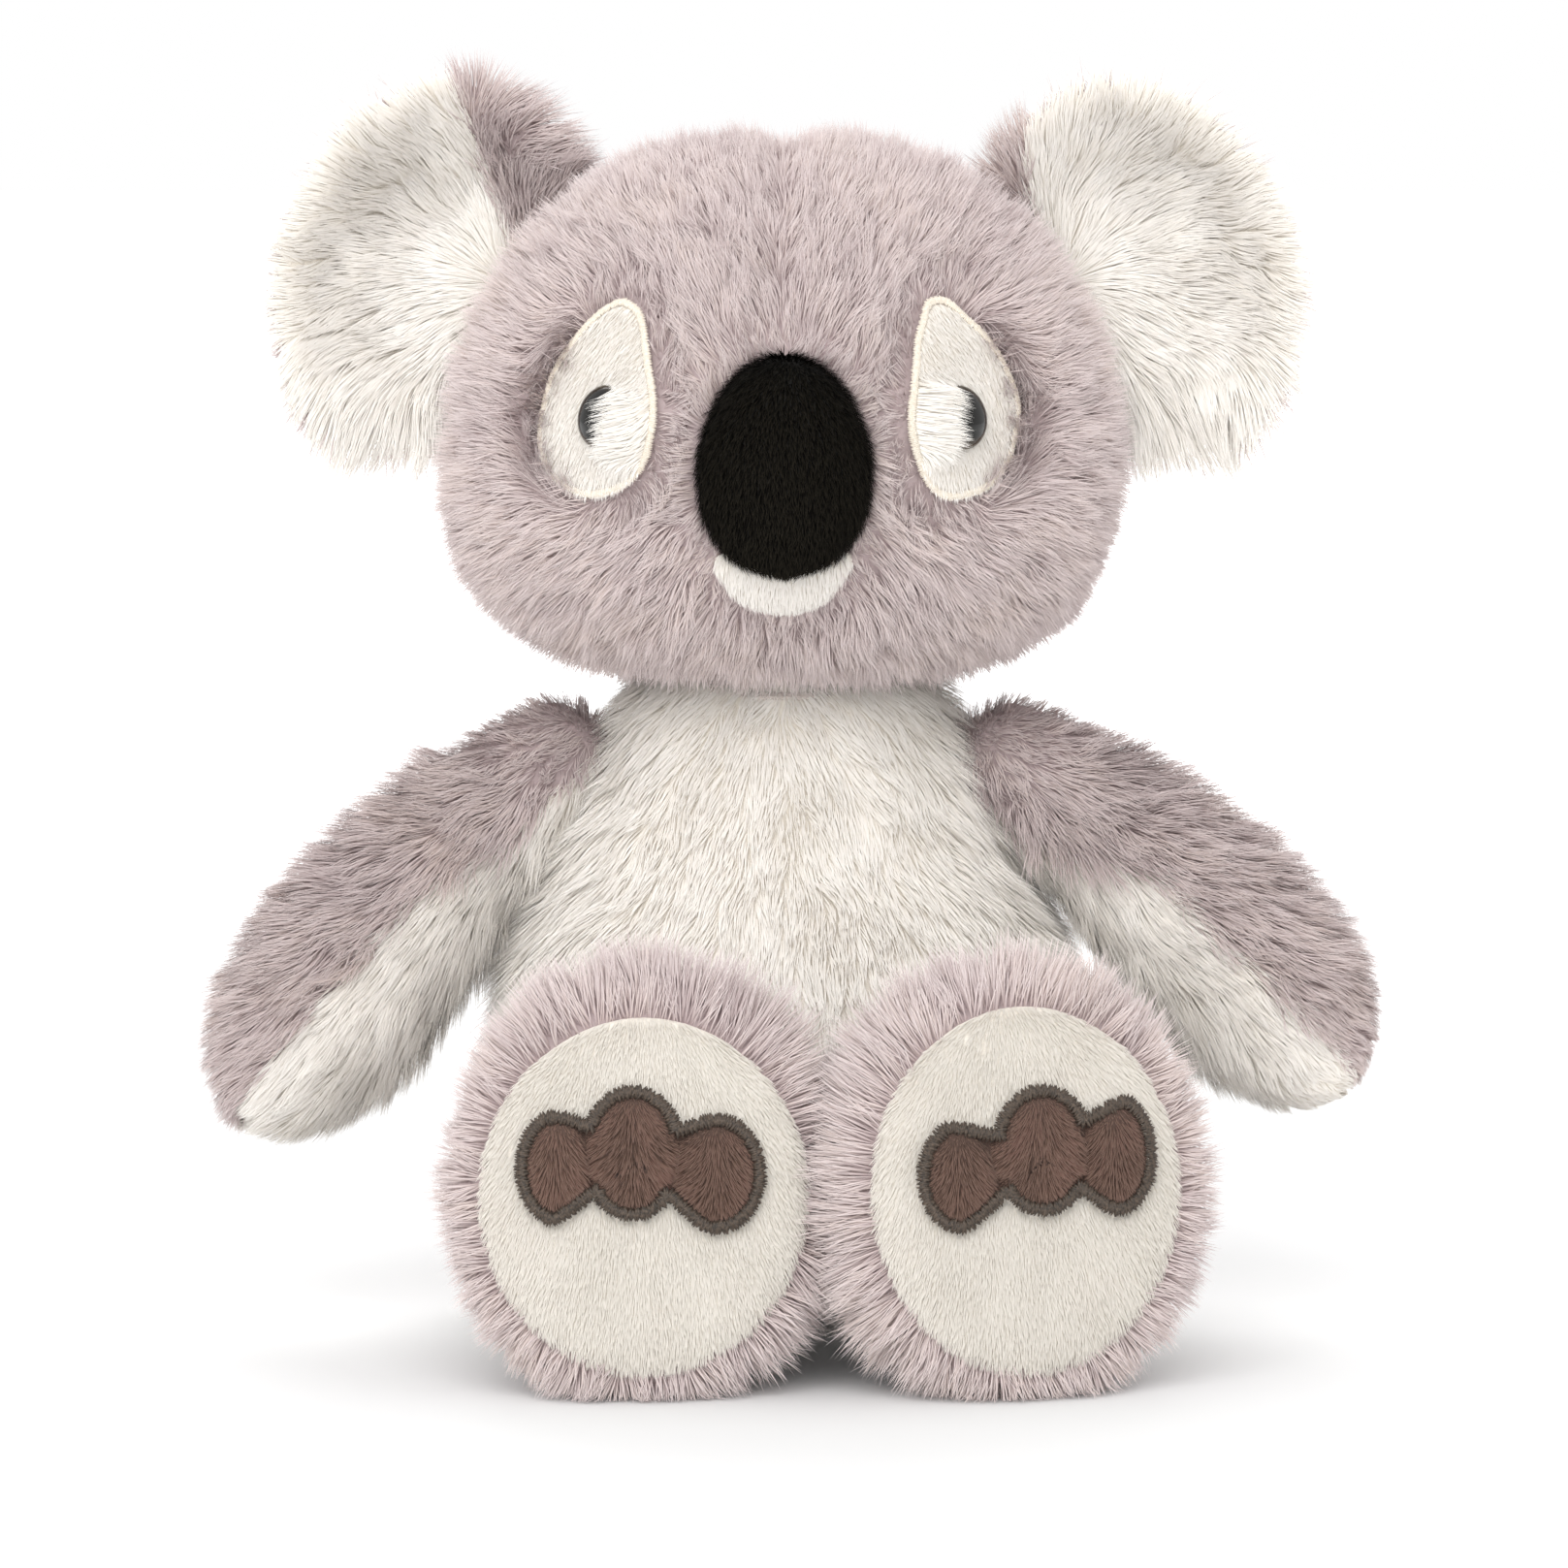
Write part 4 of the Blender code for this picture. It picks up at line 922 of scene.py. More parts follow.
for side, sign in SIGNS.items():
    mesh = SKINS[f"ear_{side}_padding"].data
    points, outward = surface(mesh)
    columns, rows = seen_at(points)
    behind = gaps_to(node_tree(f"ear_back_{side}"), points) - gaps_to(node_tree(f"ear_front_{side}"), points)
    line = np.array(EAR_TURN_PIXELS[side], float)
    past = -sign * (columns - np.interp(rows, line[:, 1], line[:, 0]))
    turned = (past > 0) & (rows < line[-1, 1])
    grey = (behind < 0) | turned
    grow = depth_in(head_tree, points) < PRESSED
    below = step(points[:, 2], EAR_LOW, EAR_LOW - EAR_DROP_HEIGHT)
    drop = EAR_DROP * below * step(-outward[:, 2], 0.1, 0.7)
    set_coordinates(mesh, points - drop[:, None] * np.array((0, 0, 1.0)))
    corner = step(past, *CORNER_REACH) * step(rows, *CORNER_ROWS)
    outer = step(sign * (columns - PICTURE_SIDE / 2), *OUTER_COLUMNS) * (rows > OUTER_TOP_ROW)
    outer = outer * (side == "left")
    rim = step(np.abs(behind), *EAR_RIM) * (behind < 0) * ~turned
    way = unit(points - JOINTS[f"ear_{side}_fold"]) * (1 - 0.6 * below)[:, None]
    way += np.array((0, 0, -1.0)) * below[:, None]
    way = blended(way, (0, 1.0, -0.3), rim)
    way = blended(way, (-sign * 1.0, 0.2, 0.25), corner)
    store(mesh, "nap", laid_on(outward, way + np.array((0, 0, -0.15))))
    store(mesh, "pile", (1 + 0.75 * below + 0.3 * corner - 0.35 * outer) * (1 - 0.55 * rim))
    store(mesh, "grow_front", grow * ~grey)
    store(mesh, "grow_back", grow * grey)
    print("ear", side, "grey share", round(float(grey.mean()), 2))

# %% [markdown]
# ## Growing the pile
# One Geometry Nodes tree grows every kind of pile. It scatters roots over the faces, leans each strand
# from the surface towards the nap, lets neighbours wander together by a noise, and draws them towards
# the middle of their tuft. A strand is a thin bent blade of three triangles, because there are hundreds
# of thousands. Its shading normal is square to the strand and turned up from the cloth, without the
# strand's own roll, so neighbours share the light as soft pile does.
# Strands that would pass through the floor are laid on it.

# %% The strand
BLADE_MIDDLE = 0.55
BLADE_BEND = 0.16


def blade_mesh():
    """A tapering blade along +Z of length 1 and width 1, bending towards -Y."""
    half, narrow = 0.5, 0.36
    corners = [(-half, 0, 0), (half, 0, 0), (narrow, -BLADE_BEND * BLADE_MIDDLE ** 2, BLADE_MIDDLE),
               (-narrow, -BLADE_BEND * BLADE_MIDDLE ** 2, BLADE_MIDDLE), (0, -BLADE_BEND, 1)]
    mesh = bpy.data.meshes.new("blade")
    mesh.from_pydata(corners, [], [(3, 2, 1, 0), (4, 2, 3)])
    store(mesh, "along", [c[2] for c in corners])
    store(mesh, "aside", [c[0] for c in corners])
    return mesh


blade = new_object("blade", blade_mesh())
blade.hide_render = True
print("blade faces:", len(blade.data.polygons))

# %% The pile tree
FLOOR_CLEARANCE = 0.0002
SKIN_SHARE = 0.25
BROAD_SCALE = 45.0
CLUMP_SCALE = 160.0


def begin_tree(name, inputs):
    """A tree with named inputs, listed by their kind of socket, and what is needed to build it."""
    tree = bpy.data.node_groups.new(name, "GeometryNodeTree")
    for kind, names in inputs.items():
        for socket in names:
            tree.interface.new_socket(socket, in_out="INPUT", socket_type="NodeSocket" + kind)
    tree.interface.new_socket("Geometry", in_out="OUTPUT", socket_type="NodeSocketGeometry")
    maker = TreeMaker(tree)
    given = {s.name: s for s in maker.node("NodeGroupInput").outputs if s.name}
    return tree, maker, given, {socket: Formula(maker, given[socket]) for socket in inputs["Float"]}


def close_tree(maker, geometry, material):
    done = maker.out("GeometryNodeSetMaterial", None, {"Geometry": geometry, "Material": material})
    maker.node("NodeGroupOutput", None, {"Geometry": done})


def grown_on(maker, points, shape, turn, size):
    """Copies of an object's shape on points, as a real mesh."""
    shape = maker.out("GeometryNodeObjectInfo", None, {"Object": shape}, "Geometry")
    copies = maker.out("GeometryNodeInstanceOnPoints", None,
                       {"Points": points, "Instance": shape, "Rotation": turn, "Scale": size})
    return maker.out("GeometryNodeRealizeInstances", None, {"Geometry": copies})


def pile_tree():
    sizes = ["Density", "Length", "Width", "Lean", "Wander", "Wander Size", "Tuft", "Tuft Size", "Stray"]
    tree, maker, given, number = begin_tree("pile", {
        "Geometry": ["Geometry"], "Object": ["Blade"], "String": ["Grow"], "Float": sizes, "Int": ["Seed"],
        "Material": ["Material"]})
    named, scaled, vector = maker.named, maker.scaled, maker.vector

    def chance(kind, low, high, offset):
        slots = {0: low, 1: high} if kind == "FLOAT_VECTOR" else {2: low, 3: high}
        slots["Seed"] = Formula(maker, given["Seed"]) + float(offset)
        return maker.number("FunctionNodeRandomValue", {"data_type": kind}, slots, "Value")

    def stored(geometry, name, kind, value, domain="POINT"):
        return maker.out("GeometryNodeStoreNamedAttribute", {"data_type": kind, "domain": domain},
                         {"Geometry": geometry, "Name": name, "Value": value})

    scatter = maker.node("GeometryNodeDistributePointsOnFaces", {"distribute_method": "RANDOM"},
                         {"Mesh": given["Geometry"], "Seed": given["Seed"],
                          "Density": number["Density"] * named(given["Grow"])})
    normal = scatter.outputs["Normal"]
    place = maker.out("GeometryNodeInputPosition")
    length = number["Length"] * named("pile") * chance("FLOAT", 0.75, 1.1, 1)
    wave = maker.out("ShaderNodeTexNoise", None,
                     {"Vector": place, "Scale": 1 / number["Wander Size"], "Detail": 2.0}, "Color")
    wave = scaled(vector("SUBTRACT", wave, (0.5, 0.5, 0.5)), number["Wander"] * 2)
    stray = scaled(chance("FLOAT_VECTOR", (-1, -1, -1), (1, 1, 1), 2), number["Stray"])
    cell = maker.out("ShaderNodeTexVoronoi", {"feature": "F1"},
                     {"Vector": place, "Scale": 1 / number["Tuft Size"]}, "Position")
    draw = scaled(vector("SUBTRACT", cell, place), number["Tuft"] / length)
    sine = maker.out("ShaderNodeMath", {"operation": "SINE"}, {0: number["Lean"]})
    cosine = maker.out("ShaderNodeMath", {"operation": "COSINE"}, {0: number["Lean"]})
    lie = vector("ADD", named("nap", "FLOAT_VECTOR"), wave)
    way = vector("ADD", scaled(normal, cosine), scaled(lie, sine))
    way = vector("NORMALIZE", vector("ADD", vector("ADD", way, draw), stray))
    level = vector("CROSS_PRODUCT", normal, way)
    upper = vector("NORMALIZE", vector("CROSS_PRODUCT", way, level))
    upper = vector("ADD", upper, scaled(normal, SKIN_SHARE))
    side = vector("NORMALIZE", vector("ADD", level, scaled(normal, chance("FLOAT", -0.3, 0.3, 3))))
    axes = {"primary_axis": "Z", "secondary_axis": "X"}
    turn = maker.out("FunctionNodeAxesToRotation", axes, {0: way, 1: side})
    size = maker.out("ShaderNodeCombineXYZ", None, {0: number["Width"], 1: length, 2: length})
    broad, clump = maker.noise(place, BROAD_SCALE), maker.noise(place, CLUMP_SCALE)
    tint = (broad * 0.9 + clump * 1.1 - 0.75 + chance("FLOAT", 0.0, 0.5, 4)).held()
    roots = stored(scatter.outputs["Points"], "tint", "FLOAT", tint)
    roots = stored(roots, "upper", "FLOAT_VECTOR", upper)
    real = grown_on(maker, roots, given["Blade"], turn, size)
    low = maker.node("ShaderNodeSeparateXYZ", None, {0: place})
    flat = maker.out("ShaderNodeMath", {"operation": "MAXIMUM"}, {0: low.outputs[2], 1: FLOOR_CLEARANCE})
    laid = maker.out("ShaderNodeCombineXYZ", None, {0: low.outputs[0], 1: low.outputs[1], 2: flat})
    real = maker.out("GeometryNodeSetPosition", None, {"Geometry": real, "Position": laid})
    soft = vector("NORMALIZE", named("upper", "FLOAT_VECTOR"))
    real = maker.out("GeometryNodeSetMeshNormal", {"mode": "TANGENT_SPACE"},
                     {"Mesh": real, "Custom Normal": soft})
    across = (named("tint") * 0.94 + 0.03 + named("aside") * 0.03).held()
    up = (named("along") * 0.96 + 0.02).held()
    spot = maker.out("ShaderNodeCombineXYZ", None, {0: across, 1: up, 2: 0.0})
    close_tree(maker, stored(real, "OFBake", "FLOAT2", spot, "CORNER"), given["Material"])
    return tree


PILE = pile_tree()
print("pile tree nodes:", len(PILE.nodes))

# %% [markdown]
# Each kind of pile is a short list of sizes. Lengths and widths are in metres, the density is in strands
# for each square metre, and the lean is from the surface's normal.

# %% Kinds of pile
PILES = {
    "grey": {"Density": 3.6e6, "Length": 0.0080, "Width": 0.00022, "Lean": 0.64, "Wander": 1.1,
             "Wander Size": 0.0058, "Tuft": 0.6, "Tuft Size": 0.0030, "Stray": 0.15},
    "white": {"Density": 3.3e6, "Length": 0.0068, "Width": 0.00026, "Lean": 0.98, "Wander": 0.75,
              "Wander Size": 0.010, "Tuft": 0.3, "Tuft Size": 0.0045, "Stray": 0.10},
    "ruff": {"Density": 3.2e6, "Length": 0.0086, "Width": 0.00024, "Lean": 0.72, "Wander": 1.3,
             "Wander Size": 0.0062, "Tuft": 0.35, "Tuft Size": 0.0040, "Stray": 0.15},
    "nap": {"Density": 7.5e6, "Length": 0.0023, "Width": 0.00021, "Lean": 1.05, "Wander": 0.35,
            "Wander Size": 0.009, "Tuft": 0.1, "Tuft Size": 0.0016, "Stray": 0.10},
}
CLOSE, CLOSEST = 4.2e6, 4.8e6
CURLY = {"Wander": 1.7, "Wander Size": 0.0045}


def triangles(mesh):
    return sum(len(p.vertices) - 2 for p in mesh.polygons)


def run_tree(work, tree, values, finish):
    """Lets a tree make the piece, and leaves a plain mesh in its finish."""
    modifier = work.modifiers.new(tree.name, "NODES")
    modifier.node_group = tree
    values = {**values, "Material": FINISHES[finish]}
    for item in tree.interface.items_tree:
        if item.in_out == "INPUT" and item.name in values:
            modifier[item.identifier] = values[item.name]
    settle(work)
    strip(work.data)
    work.data.materials.clear()
    work.data.materials.append(FINISHES[finish])
    print(work.name, "triangles", triangles(work.data))
    return work


def grow_pile(name, skin, mask, kind, finish, seed, **changes):
    """A piece of pile on a skin, where the skin's mask says so."""
    values = {"Blade": blade, "Grow": mask, "Seed": seed, **PILES[kind], **changes}
    return run_tree(new_object(name, skin.data.copy()), PILE, values, finish)


def wear(piece, body, slot, *nodes):
    """The piece rides on its body and stands for its solids; the slot is not used."""
    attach(piece, body)
    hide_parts(*nodes)


def furred(name, body, mask, kind, colour, seed, node, **changes):
    """Long pile on a body's skin, in the place of one panel."""
    fur = grow_pile(name, SKINS[body + "_padding"], mask, kind, colour + "_pile", seed, **changes)
    wear(fur, body, colour + "_plush", node)


print("kinds of pile:", sorted(PILES))

# %% Pile of the head
for seed, panel in enumerate(("left", "right", "back"), 11):
    face = "back" if panel == "back" else "face_" + panel
    furred(f"head_fur_{panel}", "head", "grow_" + face, "grey", "grey", seed, "head_" + face, **CURLY)

# %% Pile of the body, arms, legs and ears
furred("belly_fur", "torso", "grow_belly", "white", "white", 21, "torso_belly")
furred("back_fur", "torso", "grow_back", "grey", "grey", 22, "torso_back")
for seed, side in enumerate(SIDES):
    arm, leg, ear = (f"{part}_{side}" for part in ("arm", "leg", "ear"))
    furred(f"arm_fur_outer_{side}", arm, "grow_outer", "grey", "grey", 31 + seed, arm + "_outer",
           Density=CLOSE)
    furred(f"arm_fur_inner_{side}", arm, "grow_inner", "white", "white", 33 + seed, arm + "_inner",
           Density=CLOSE)
    furred(f"leg_fur_{side}", leg, "grow_cover", "ruff", "grey", 35 + seed, leg + "_cover")
    furred(f"ear_fur_front_{side}", ear, "grow_front", "white", "white", 37 + seed, f"ear_front_{side}",
           Density=CLOSEST, Stray=0.06)
    furred(f"ear_fur_back_{side}", ear, "grow_back", "grey", "grey", 39 + seed, f"ear_back_{side}",
           Density=CLOSE)

# %% [markdown]
# ## Patches
# The eye patches, chin and soles are flat pieces of short-pile plush sewn on the cover. A patch here is a
# net of rings from its outline to its middle, each corner laid on the skin below where the photograph
# shows it, then lifted a little. Solidify gives it the cloth's thickness.

# %% Patch helper
CLOTH = 0.0009
LIFTS = {"eye": 0.0016, "chin": 0.0014, "sole": 0.0010, "toes": 0.0004}
DOMES = {"chin": 0.002, "sole": 0.001}
PATCH_SPREAD = 0.3
PATCH_FALL = -0.016


def ring_faces(rings, count):
    """Four-cornered faces between rings of corners, each ring listed after the one before."""
    faces = []
    for ring in range(rings - 1):
        for i in range(count):
            a, b = ring * count + i, ring * count + (i + 1) % count
            faces.append((a, b, b + count, a + count))
    return faces


def patch(name, outline, tree, rings, lift, dome=0.0, finish="white_backing"):
    """A thin sheet on the skin inside an outline of pixels, domed towards its middle."""
    middle, corners, count = outline.mean(0), [], len(outline)
    for ring in range(rings + 1):
        share = 1 - ring / rings
        spots = middle + (outline - middle) * share if ring < rings else [middle]
        for px, py in spots:
            point, normal = place_seen(tree, px, py)
            if point is None:
                point, normal = corners[-1][0], corners[-1][1]
            corners.append((point, normal, lift + dome * math.sqrt(max(0, 1 - share * share))))
    last = (rings - 1) * count
    faces = ring_faces(rings, count)
    faces += [(last + i, last + (i + 1) % count, rings * count) for i in range(count)]
    mesh = bpy.data.meshes.new(name)
    mesh.from_pydata([p + n * up for p, n, up in corners], [], faces)
    made = new_object(name, mesh)
    mesh.update()
    if np.mean(coordinates(mesh, "normal") @ TOWARDS) < 0:
        mesh.flip_normals()
    made.modifiers.new("smooth", "SMOOTH").iterations = 3
    settle(made)
    points, outward = surface(made.data)
    spread = (points - points.mean(0)) * PATCH_SPREAD
    store(made.data, "nap", laid_on(outward, spread + np.array((0, 0, PATCH_FALL))))
    store(made.data, "pile", np.ones(len(points)))
    store(made.data, "grow_all", np.ones(len(points)))
    made.data.materials.append(FINISHES[finish])
    return made


def thicken(sheet):
    wall = sheet.modifiers.new("cloth", "SOLIDIFY")
    wall.thickness = CLOTH
    wall.offset = -1
    settle(sheet)
    strip(sheet.data)
    shade_smooth(sheet.data)
    return sheet


print("cloth thickness in mm:", CLOTH * 1000)

# %% Eye patches and chin
EYE_PILE, TOE_PILE, NOSE_PILE = 0.0024, 0.0026, 0.0032
LID_LONGER = 1.7
LID_START, LID_END, LID_HEIGHT = (-6, 6), (50, 28), (48, 26)
EYE_INWARD = {"left": 0.0016, "right": 0.0024}
FACE_PIXELS_PER_METRE = 5800
SHORT_WHITE = "white_short_plush"
head_tree = tree_of(SKINS["head_padding"])
for seed, (side, sign) in enumerate(SIGNS.items()):
    sheet = patch(f"eye_patch_cloth_{side}", EYE_PATCHES[side], head_tree, 12, LIFTS["eye"])
    points, outward = surface(sheet.data)
    columns, rows = seen_at(points)
    beside = -sign * (columns - EYE_PIXELS[side][0]) - EYE_INWARD[side] * FACE_PIXELS_PER_METRE
    lid = step(beside, *LID_START) * step(beside, *LID_END)
    lid = lid * step(np.abs(rows - EYE_PIXELS[side][1]), *LID_HEIGHT)
    way = blended(np.tile((0, 0, -1.0), (len(points), 1)), (sign * 1.0, 0, -0.1), lid)
    store(sheet.data, "nap", laid_on(outward, way))
    store(sheet.data, "pile", 1 + LID_LONGER * lid)
    fur = grow_pile(f"eye_patch_pile_{side}", sheet, "grow_all", "nap", "white_pile", 51 + seed,
                    Length=EYE_PILE)
    wear(fur, "head", SHORT_WHITE, f"eye_patch_{side}")
    wear(thicken(sheet), "head", SHORT_WHITE, f"eye_patch_{side}")
sheet = patch("chin_cloth", CHIN, head_tree, 8, LIFTS["chin"], DOMES["chin"])
wear(grow_pile("chin_pile", sheet, "grow_all", "nap", "white_pile", 53), "head", SHORT_WHITE, "chin_patch")
wear(thicken(sheet), "head", SHORT_WHITE, "chin_patch")

# %% Soles and toe pads
TOE_DOME = 0.0026
TOE_CREASE = 0.0020
TOE_MARGIN = 7
TOE_BORDER = (8, 22)
for seed, side in enumerate(SIDES):
    leg = f"leg_{side}"
    leg_tree = tree_of(SKINS[leg + "_padding"])
    sheet = patch(f"sole_cloth_{side}", SOLES[side], leg_tree, 28, LIFTS["sole"], DOMES["sole"])
    columns, rows = seen_at(coordinates(sheet.data))
    under_toes = inside(TOES[side], columns, rows) | (gap_to_outline(TOES[side], columns, rows) < TOE_MARGIN)
    store(sheet.data, "grow_sole", (~under_toes).astype(float))
    fur = grow_pile(f"sole_pile_{side}", sheet, "grow_sole", "nap", "sole_nap", 61 + seed)
    wear(fur, leg, "sole_plush", f"sole_{side}")
    pads = patch(f"toe_pad_cloth_{side}", TOES[side], tree_of(sheet), 32, LIFTS["toes"],
                 finish="brown_backing")
    points, outward = surface(pads.data)
    columns, rows = seen_at(points)
    reach = [1 - ((columns - x) / wide) ** 2 - ((rows - y) / high) ** 2
             for x, y, wide, high in TOE_PIXELS[side]]
    order = np.sort(reach, axis=0)
    domes = np.sqrt(np.clip(order[-1], 0, 1))
    crease = step(order[-1] - order[-2], 0.6, 0.1)
    set_coordinates(pads.data, points + outward * (domes * (TOE_DOME - TOE_CREASE * crease))[:, None])
    slide = columns - np.array([lobe[0] for lobe in TOE_PIXELS[side]])[np.argmax(reach, axis=0)]
    way = np.stack([slide / 40, np.zeros(len(slide)), np.full(len(slide), -0.6)], axis=1)
    store(pads.data, "nap", laid_on(coordinates(pads.data, "normal"), way))
    border = gap_to_outline(TOES[side], columns, rows)
    store(pads.data, "pile", (0.3 + 0.7 * step(border, *TOE_BORDER)) * (1 - 0.65 * crease))
    store(pads.data, "grow_all", (crease < 0.8).astype(float))
    fur = grow_pile(f"toe_pad_pile_{side}", pads, "grow_all", "nap", "brown_nap", 63 + seed, Length=TOE_PILE)
    wear(fur, leg, "brown_short_plush", f"toe_pads_{side}")
    wear(thicken(pads), leg, "brown_short_plush", f"toe_pads_{side}")
    wear(thicken(sheet), leg, "sole_plush", f"sole_{side}")

# %% [markdown]
# ## The nose
# The nose is a stuffed egg of black short pile on the front of the muzzle. Its skin is made as the larger
# ones are, from the cover and its padding.

# %% Nose
NOSE_FULLER = np.array((1.22, 1.0, 1.08))
NOSE_SUNK = 2.6
NOSE_DOME = 0.0038
NOSE_SIZES = (0.0014, 0.0005)
NOSE_NODES = ("nose_cover", "nose_padding")
nose = make_skin("nose_padding_skin", NOSE_NODES, *NOSE_SIZES)
points = coordinates(nose.data)
middle = (points.max(0) + points.min(0)) / 2
points = middle + (points - middle) * NOSE_FULLER
half = (points.max(0) - points.min(0)) / 2
rise = np.clip(1 - ((points - middle)[:, 0] / half[0]) ** 2 - ((points - middle)[:, 2] / half[2]) ** 2, 0, 1)
points[:, 1] -= NOSE_DOME * rise * (points[:, 1] < middle[1])
sunk = middle[1] + (points[:, 1] - middle[1]) * NOSE_SUNK
points[:, 1] = np.where(points[:, 1] > middle[1], sunk, points[:, 1])
set_coordinates(nose.data, points)
points, outward = surface(nose.data)
top = points[np.argmax(points[:, 2])]
store(nose.data, "nap", laid_on(outward, unit(points - top) + np.array((0, 0, -0.6))))
store(nose.data, "pile", np.ones(len(points)))
store(nose.data, "grow_nose", outward @ TOWARDS > -0.3)
fur = grow_pile("nose_pile", nose, "grow_nose", "nap", "black_nap", 71, Length=NOSE_PILE, Stray=0.3)
wear(fur, "head", "black_short_plush", "nose_cover")

# %% [markdown]
# ## Satin stitches
# A machine sews a close zigzag over a patch's edge, so short threads lie side by side across it. A
# Geometry Nodes tree takes a closed line, places one thread at each step and lays it across the line.
# The line carries two directions at each point: across the edge and away from the cloth.

# %% Thread and stitch tree
THREAD_RINGS, THREAD_SIDES = 5, 6
THREAD_ARCH = 0.6


def closed_mesh(name, corners, faces):
    """A mesh with all its faces pointing outwards."""
    mesh = bpy.data.meshes.new(name)
    mesh.from_pydata([tuple(c) for c in corners], [], faces)
    work = bmesh.new()
    work.from_mesh(mesh)
    bmesh.ops.recalc_face_normals(work, faces=work.faces)
    work.to_mesh(mesh)
    work.free()
    return mesh


def thread_mesh():
    """A short arched thread along X, 1 long and 1 thick, with closed ends."""
    corners, sides = [], THREAD_SIDES
    for ring in range(THREAD_RINGS):
        x = ring / (THREAD_RINGS - 1) - 0.5
        thick = 0.5 * (1 - (2 * x) ** 4) ** 0.5 if abs(x) < 0.5 else 0.12
        for k in range(sides):
            turn = 2 * math.pi * k / sides
            arch = THREAD_ARCH * (1 - (2 * x) ** 2)
            corners.append((x, thick * math.cos(turn), thick * math.sin(turn) + arch))
    last = (THREAD_RINGS - 1) * sides
    ends = [tuple(range(sides)), tuple(range(last, last + sides))[::-1]]
    return closed_mesh("thread", corners, ring_faces(THREAD_RINGS, sides) + ends)


def stitch_tree():
    tree, maker, given, number = begin_tree("satin_stitches", {
        "Geometry": ["Geometry"], "Object": ["Thread"], "Float": ["Pitch", "Band", "Thickness", "Ragged"],
        "Material": ["Material"]})
    line = maker.out("GeometryNodeMeshToCurve", None, {"Mesh": given["Geometry"]})
    steps = maker.out("GeometryNodeResampleCurve", {"mode": "LENGTH"},
                      {"Curve": line, "Length": given["Pitch"]})
    shake = maker.out("FunctionNodeRandomValue", {"data_type": "FLOAT_VECTOR"},
                      {0: (-1, -1, -1), 1: (1, 1, 1), "Seed": 5}, "Value")
    way = maker.vector("ADD", maker.named("across", "FLOAT_VECTOR"), maker.scaled(shake, given["Ragged"]))
    turn = maker.out("FunctionNodeAxesToRotation", {"primary_axis": "X", "secondary_axis": "Z"},
                     {0: maker.vector("NORMALIZE", way), 1: maker.named("away", "FLOAT_VECTOR")})
    long = maker.number("FunctionNodeRandomValue", {"data_type": "FLOAT"}, {2: 0.85, 3: 1.15, "Seed": 6},
                        "Value")
    size = maker.out("ShaderNodeCombineXYZ", None,
                     {0: number["Band"] * long, 1: given["Thickness"], 2: given["Thickness"]})
    close_tree(maker, grown_on(maker, steps, given["Thread"], turn, size), given["Material"])
    return tree


STITCHES = stitch_tree()
thread = new_object("thread", thread_mesh())
thread.hide_render = True
print("thread faces:", len(thread.data.polygons))

# %% Sew the patches
EYE_LINE_LIFT, TOE_LINE_LIFT = 0.0018, 0.0019
EYE_THREADS = {"Pitch": 0.00034, "Band": 0.0017, "Thickness": 0.00045, "Ragged": 0.12}
TOE_THREADS = {"Pitch": 0.00034, "Band": 0.0027, "Thickness": 0.0006, "Ragged": 0.3}


def sew(name, outline, tree, lift, finish, sizes):
    """Satin stitches along an outline of pixels, laid on a surface."""
    found = [place_seen(tree, px, py) for px, py in outline]
    found = [f for f in found if f[0] is not None]
    spots = np.array([np.array(p) + np.array(n) * lift for p, n in found])
    away = unit(np.array([n for _, n in found]))
    run = unit(np.roll(spots, -1, axis=0) - np.roll(spots, 1, axis=0))
    mesh = bpy.data.meshes.new(name)
    count = len(spots)
    mesh.from_pydata(spots.tolist(), [(i, (i + 1) % count) for i in range(count)], [])
    store(mesh, "across", unit(np.cross(run, away)))
    store(mesh, "away", away)
    made = run_tree(new_object(name, mesh), STITCHES, {"Thread": thread, **sizes}, finish)
    shade_smooth(made.data)
    return made


for side in SIDES:
    threads = sew(f"eye_patch_stitches_{side}", EYE_PATCHES[side], head_tree, EYE_LINE_LIFT, "cream_thread",
                  EYE_THREADS)
    wear(threads, "head", SHORT_WHITE, f"eye_patch_{side}")
    sole_tree = tree_of(bpy.data.objects[f"sole_cloth_{side}"])
    threads = sew(f"toe_stitches_{side}", TOES[side], sole_tree, TOE_LINE_LIFT, "dark_thread", TOE_THREADS)
    wear(threads, f"leg_{side}", "brown_thread", f"toe_stitching_{side}")

# %% [markdown]
# ## Colour of the skins
# A little of the knitted backing shows between the hairs, so each skin wears the backing of the plush that
# grows on it.

# %% Finish the skins
WHITE_MASKS = ("grow_belly", "grow_inner", "grow_front")


def close_skin(skin, body, slot, nodes):
    """Makes a skin smooth and plain, and puts it on its body in the place of its solids."""
    shade_smooth(skin.data)
    strip(skin.data)
    wear(skin, body, slot, *nodes)


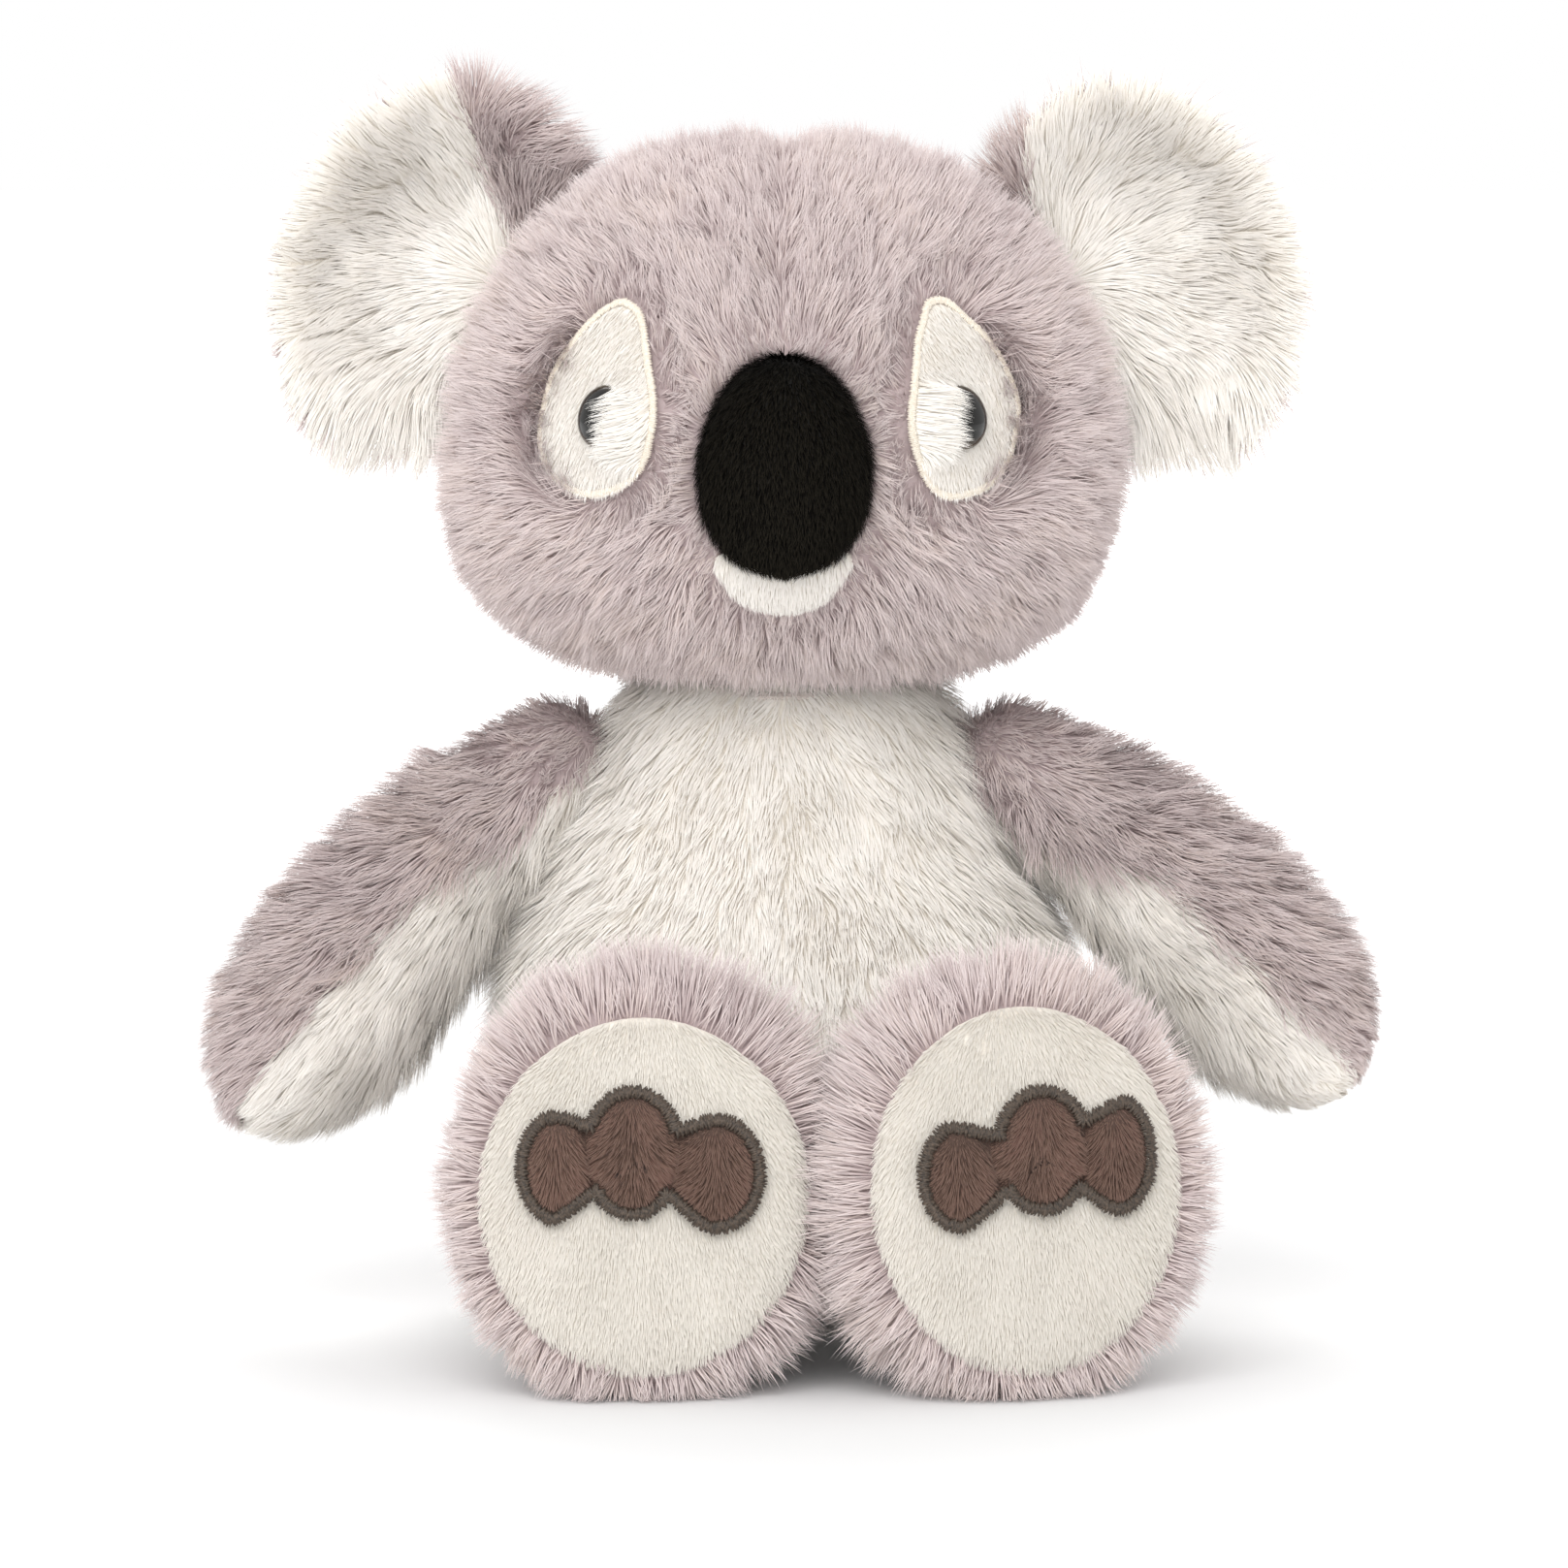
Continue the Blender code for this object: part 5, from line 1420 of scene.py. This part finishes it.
for name, skin in SKINS.items():
    mesh = skin.data
    mesh.materials.clear()
    mesh.materials.append(FINISHES["grey_backing"])
    mesh.materials.append(FINISHES["white_backing"])
    white = np.zeros(len(mesh.vertices), np.float32)
    for mask in set(WHITE_MASKS) & set(mesh.attributes.keys()):
        mesh.attributes[mask].data.foreach_get("value", white)
    for face in mesh.polygons:
        face.material_index = int(np.mean([white[v] for v in face.vertices]) > 0.5)
    slot = "white_plush" if name == "torso_padding" else "grey_plush"
    close_skin(skin, name.replace("_padding", ""), slot, SKIN_NODES[name])
nose.data.materials.append(FINISHES["black_backing"])
close_skin(nose, "head", "black_short_plush", NOSE_NODES)
print("skins finished:", len(SKINS) + 1)

# %% [markdown]
# ## The eyes
# A safety eye is one moulded piece: a glossy cap with a barbed shank that goes through the plush. Its
# outline is turned round the shank's axis, which the solid's own corners give: a turned shape spreads
# alike in two directions and differently in the third.

# %% Turned eyes
EYE_RADIUS = 0.0060
EYE_BULGE = 0.0038
SHANK_RADIUS = 0.0016
EYE_TURNS = 48
CAP_STEPS = 14


def turned_eye(name, node, inward):
    solid = coordinates(NODES[node].data)
    centre = (solid.max(0) + solid.min(0)) / 2
    spread, ways = np.linalg.eigh(np.cov((solid - solid.mean(0)).T))
    odd = 0 if spread[1] - spread[0] > spread[2] - spread[1] else 2
    axis = ways[:, odd] * (1 if ways[:, odd] @ TOWARDS > 0 else -1)
    first = unit(np.cross(axis, (0, 0, 1.0))[None])[0]
    second = np.cross(axis, first)
    heights = (solid - centre) @ axis
    middle = centre + axis * heights.max()
    rim = solid[heights > heights.max() - EYE_BULGE * 1.2] - middle
    middle += (rim - np.outer(rim @ axis, axis)).mean(0) + inward * first
    profile = [(EYE_RADIUS * math.sin(t), -EYE_BULGE * (1 - math.cos(t)))
               for t in np.linspace(0, math.pi / 2, CAP_STEPS)[1:]]
    profile += [(EYE_RADIUS * 0.97, -EYE_BULGE * 1.15), (EYE_RADIUS * 0.86, -EYE_BULGE * 1.22),
                (SHANK_RADIUS, -EYE_BULGE * 1.24), (SHANK_RADIUS, heights.min() - heights.max())]
    corners, rims = [middle], [0.0]
    for radius, drop in profile:
        for turn in np.arange(EYE_TURNS) * 2 * math.pi / EYE_TURNS:
            spoke = (first * math.cos(turn) + second * math.sin(turn)) * radius
            corners.append(middle + axis * drop + spoke)
            rims.append(radius / EYE_RADIUS)
    faces = [(0, 1 + k, 1 + (k + 1) % EYE_TURNS) for k in range(EYE_TURNS)]
    faces += [(a + 1, d + 1, c + 1, b + 1) for a, b, c, d in ring_faces(len(profile), EYE_TURNS)]
    faces.append(tuple(range(len(corners) - EYE_TURNS, len(corners))))
    mesh = closed_mesh(name, corners, faces)
    store(mesh, "rim", rims)
    shade_smooth(mesh)
    mesh.materials.append(FINISHES["eye_plastic"])
    print(name, "axis", np.round(axis, 3))
    return new_object(name, mesh)


for side, sign in SIGNS.items():
    cap = turned_eye(f"eye_cap_{side}", f"eye_{side}", EYE_INWARD[side] * sign)
    wear(cap, "head", "eye_plastic", f"eye_{side}")

# %% [markdown]
# ## The hidden hard parts
# The washers and the neck's thread keep their own solids, which the stuffing hides. They only need their
# finishes.

# %% Washers and neck thread
HARD = {"eye_washer_left": "washer_plastic", "eye_washer_right": "washer_plastic",
        "neck_seam": "neck_thread"}
for name, finish in HARD.items():
    NODES[name].data.materials.clear()
    NODES[name].data.materials.append(FINISHES[finish])
    print(name, "wears", finish)

# %% [markdown]
# ## Last steps
# The helpers that only lent their shape are removed.

# %% Finish
for helper in (blade, thread):
    bpy.data.objects.remove(helper)
total = sum(triangles(o.data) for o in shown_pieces() if o.type == "MESH")
print("triangles in all:", total)
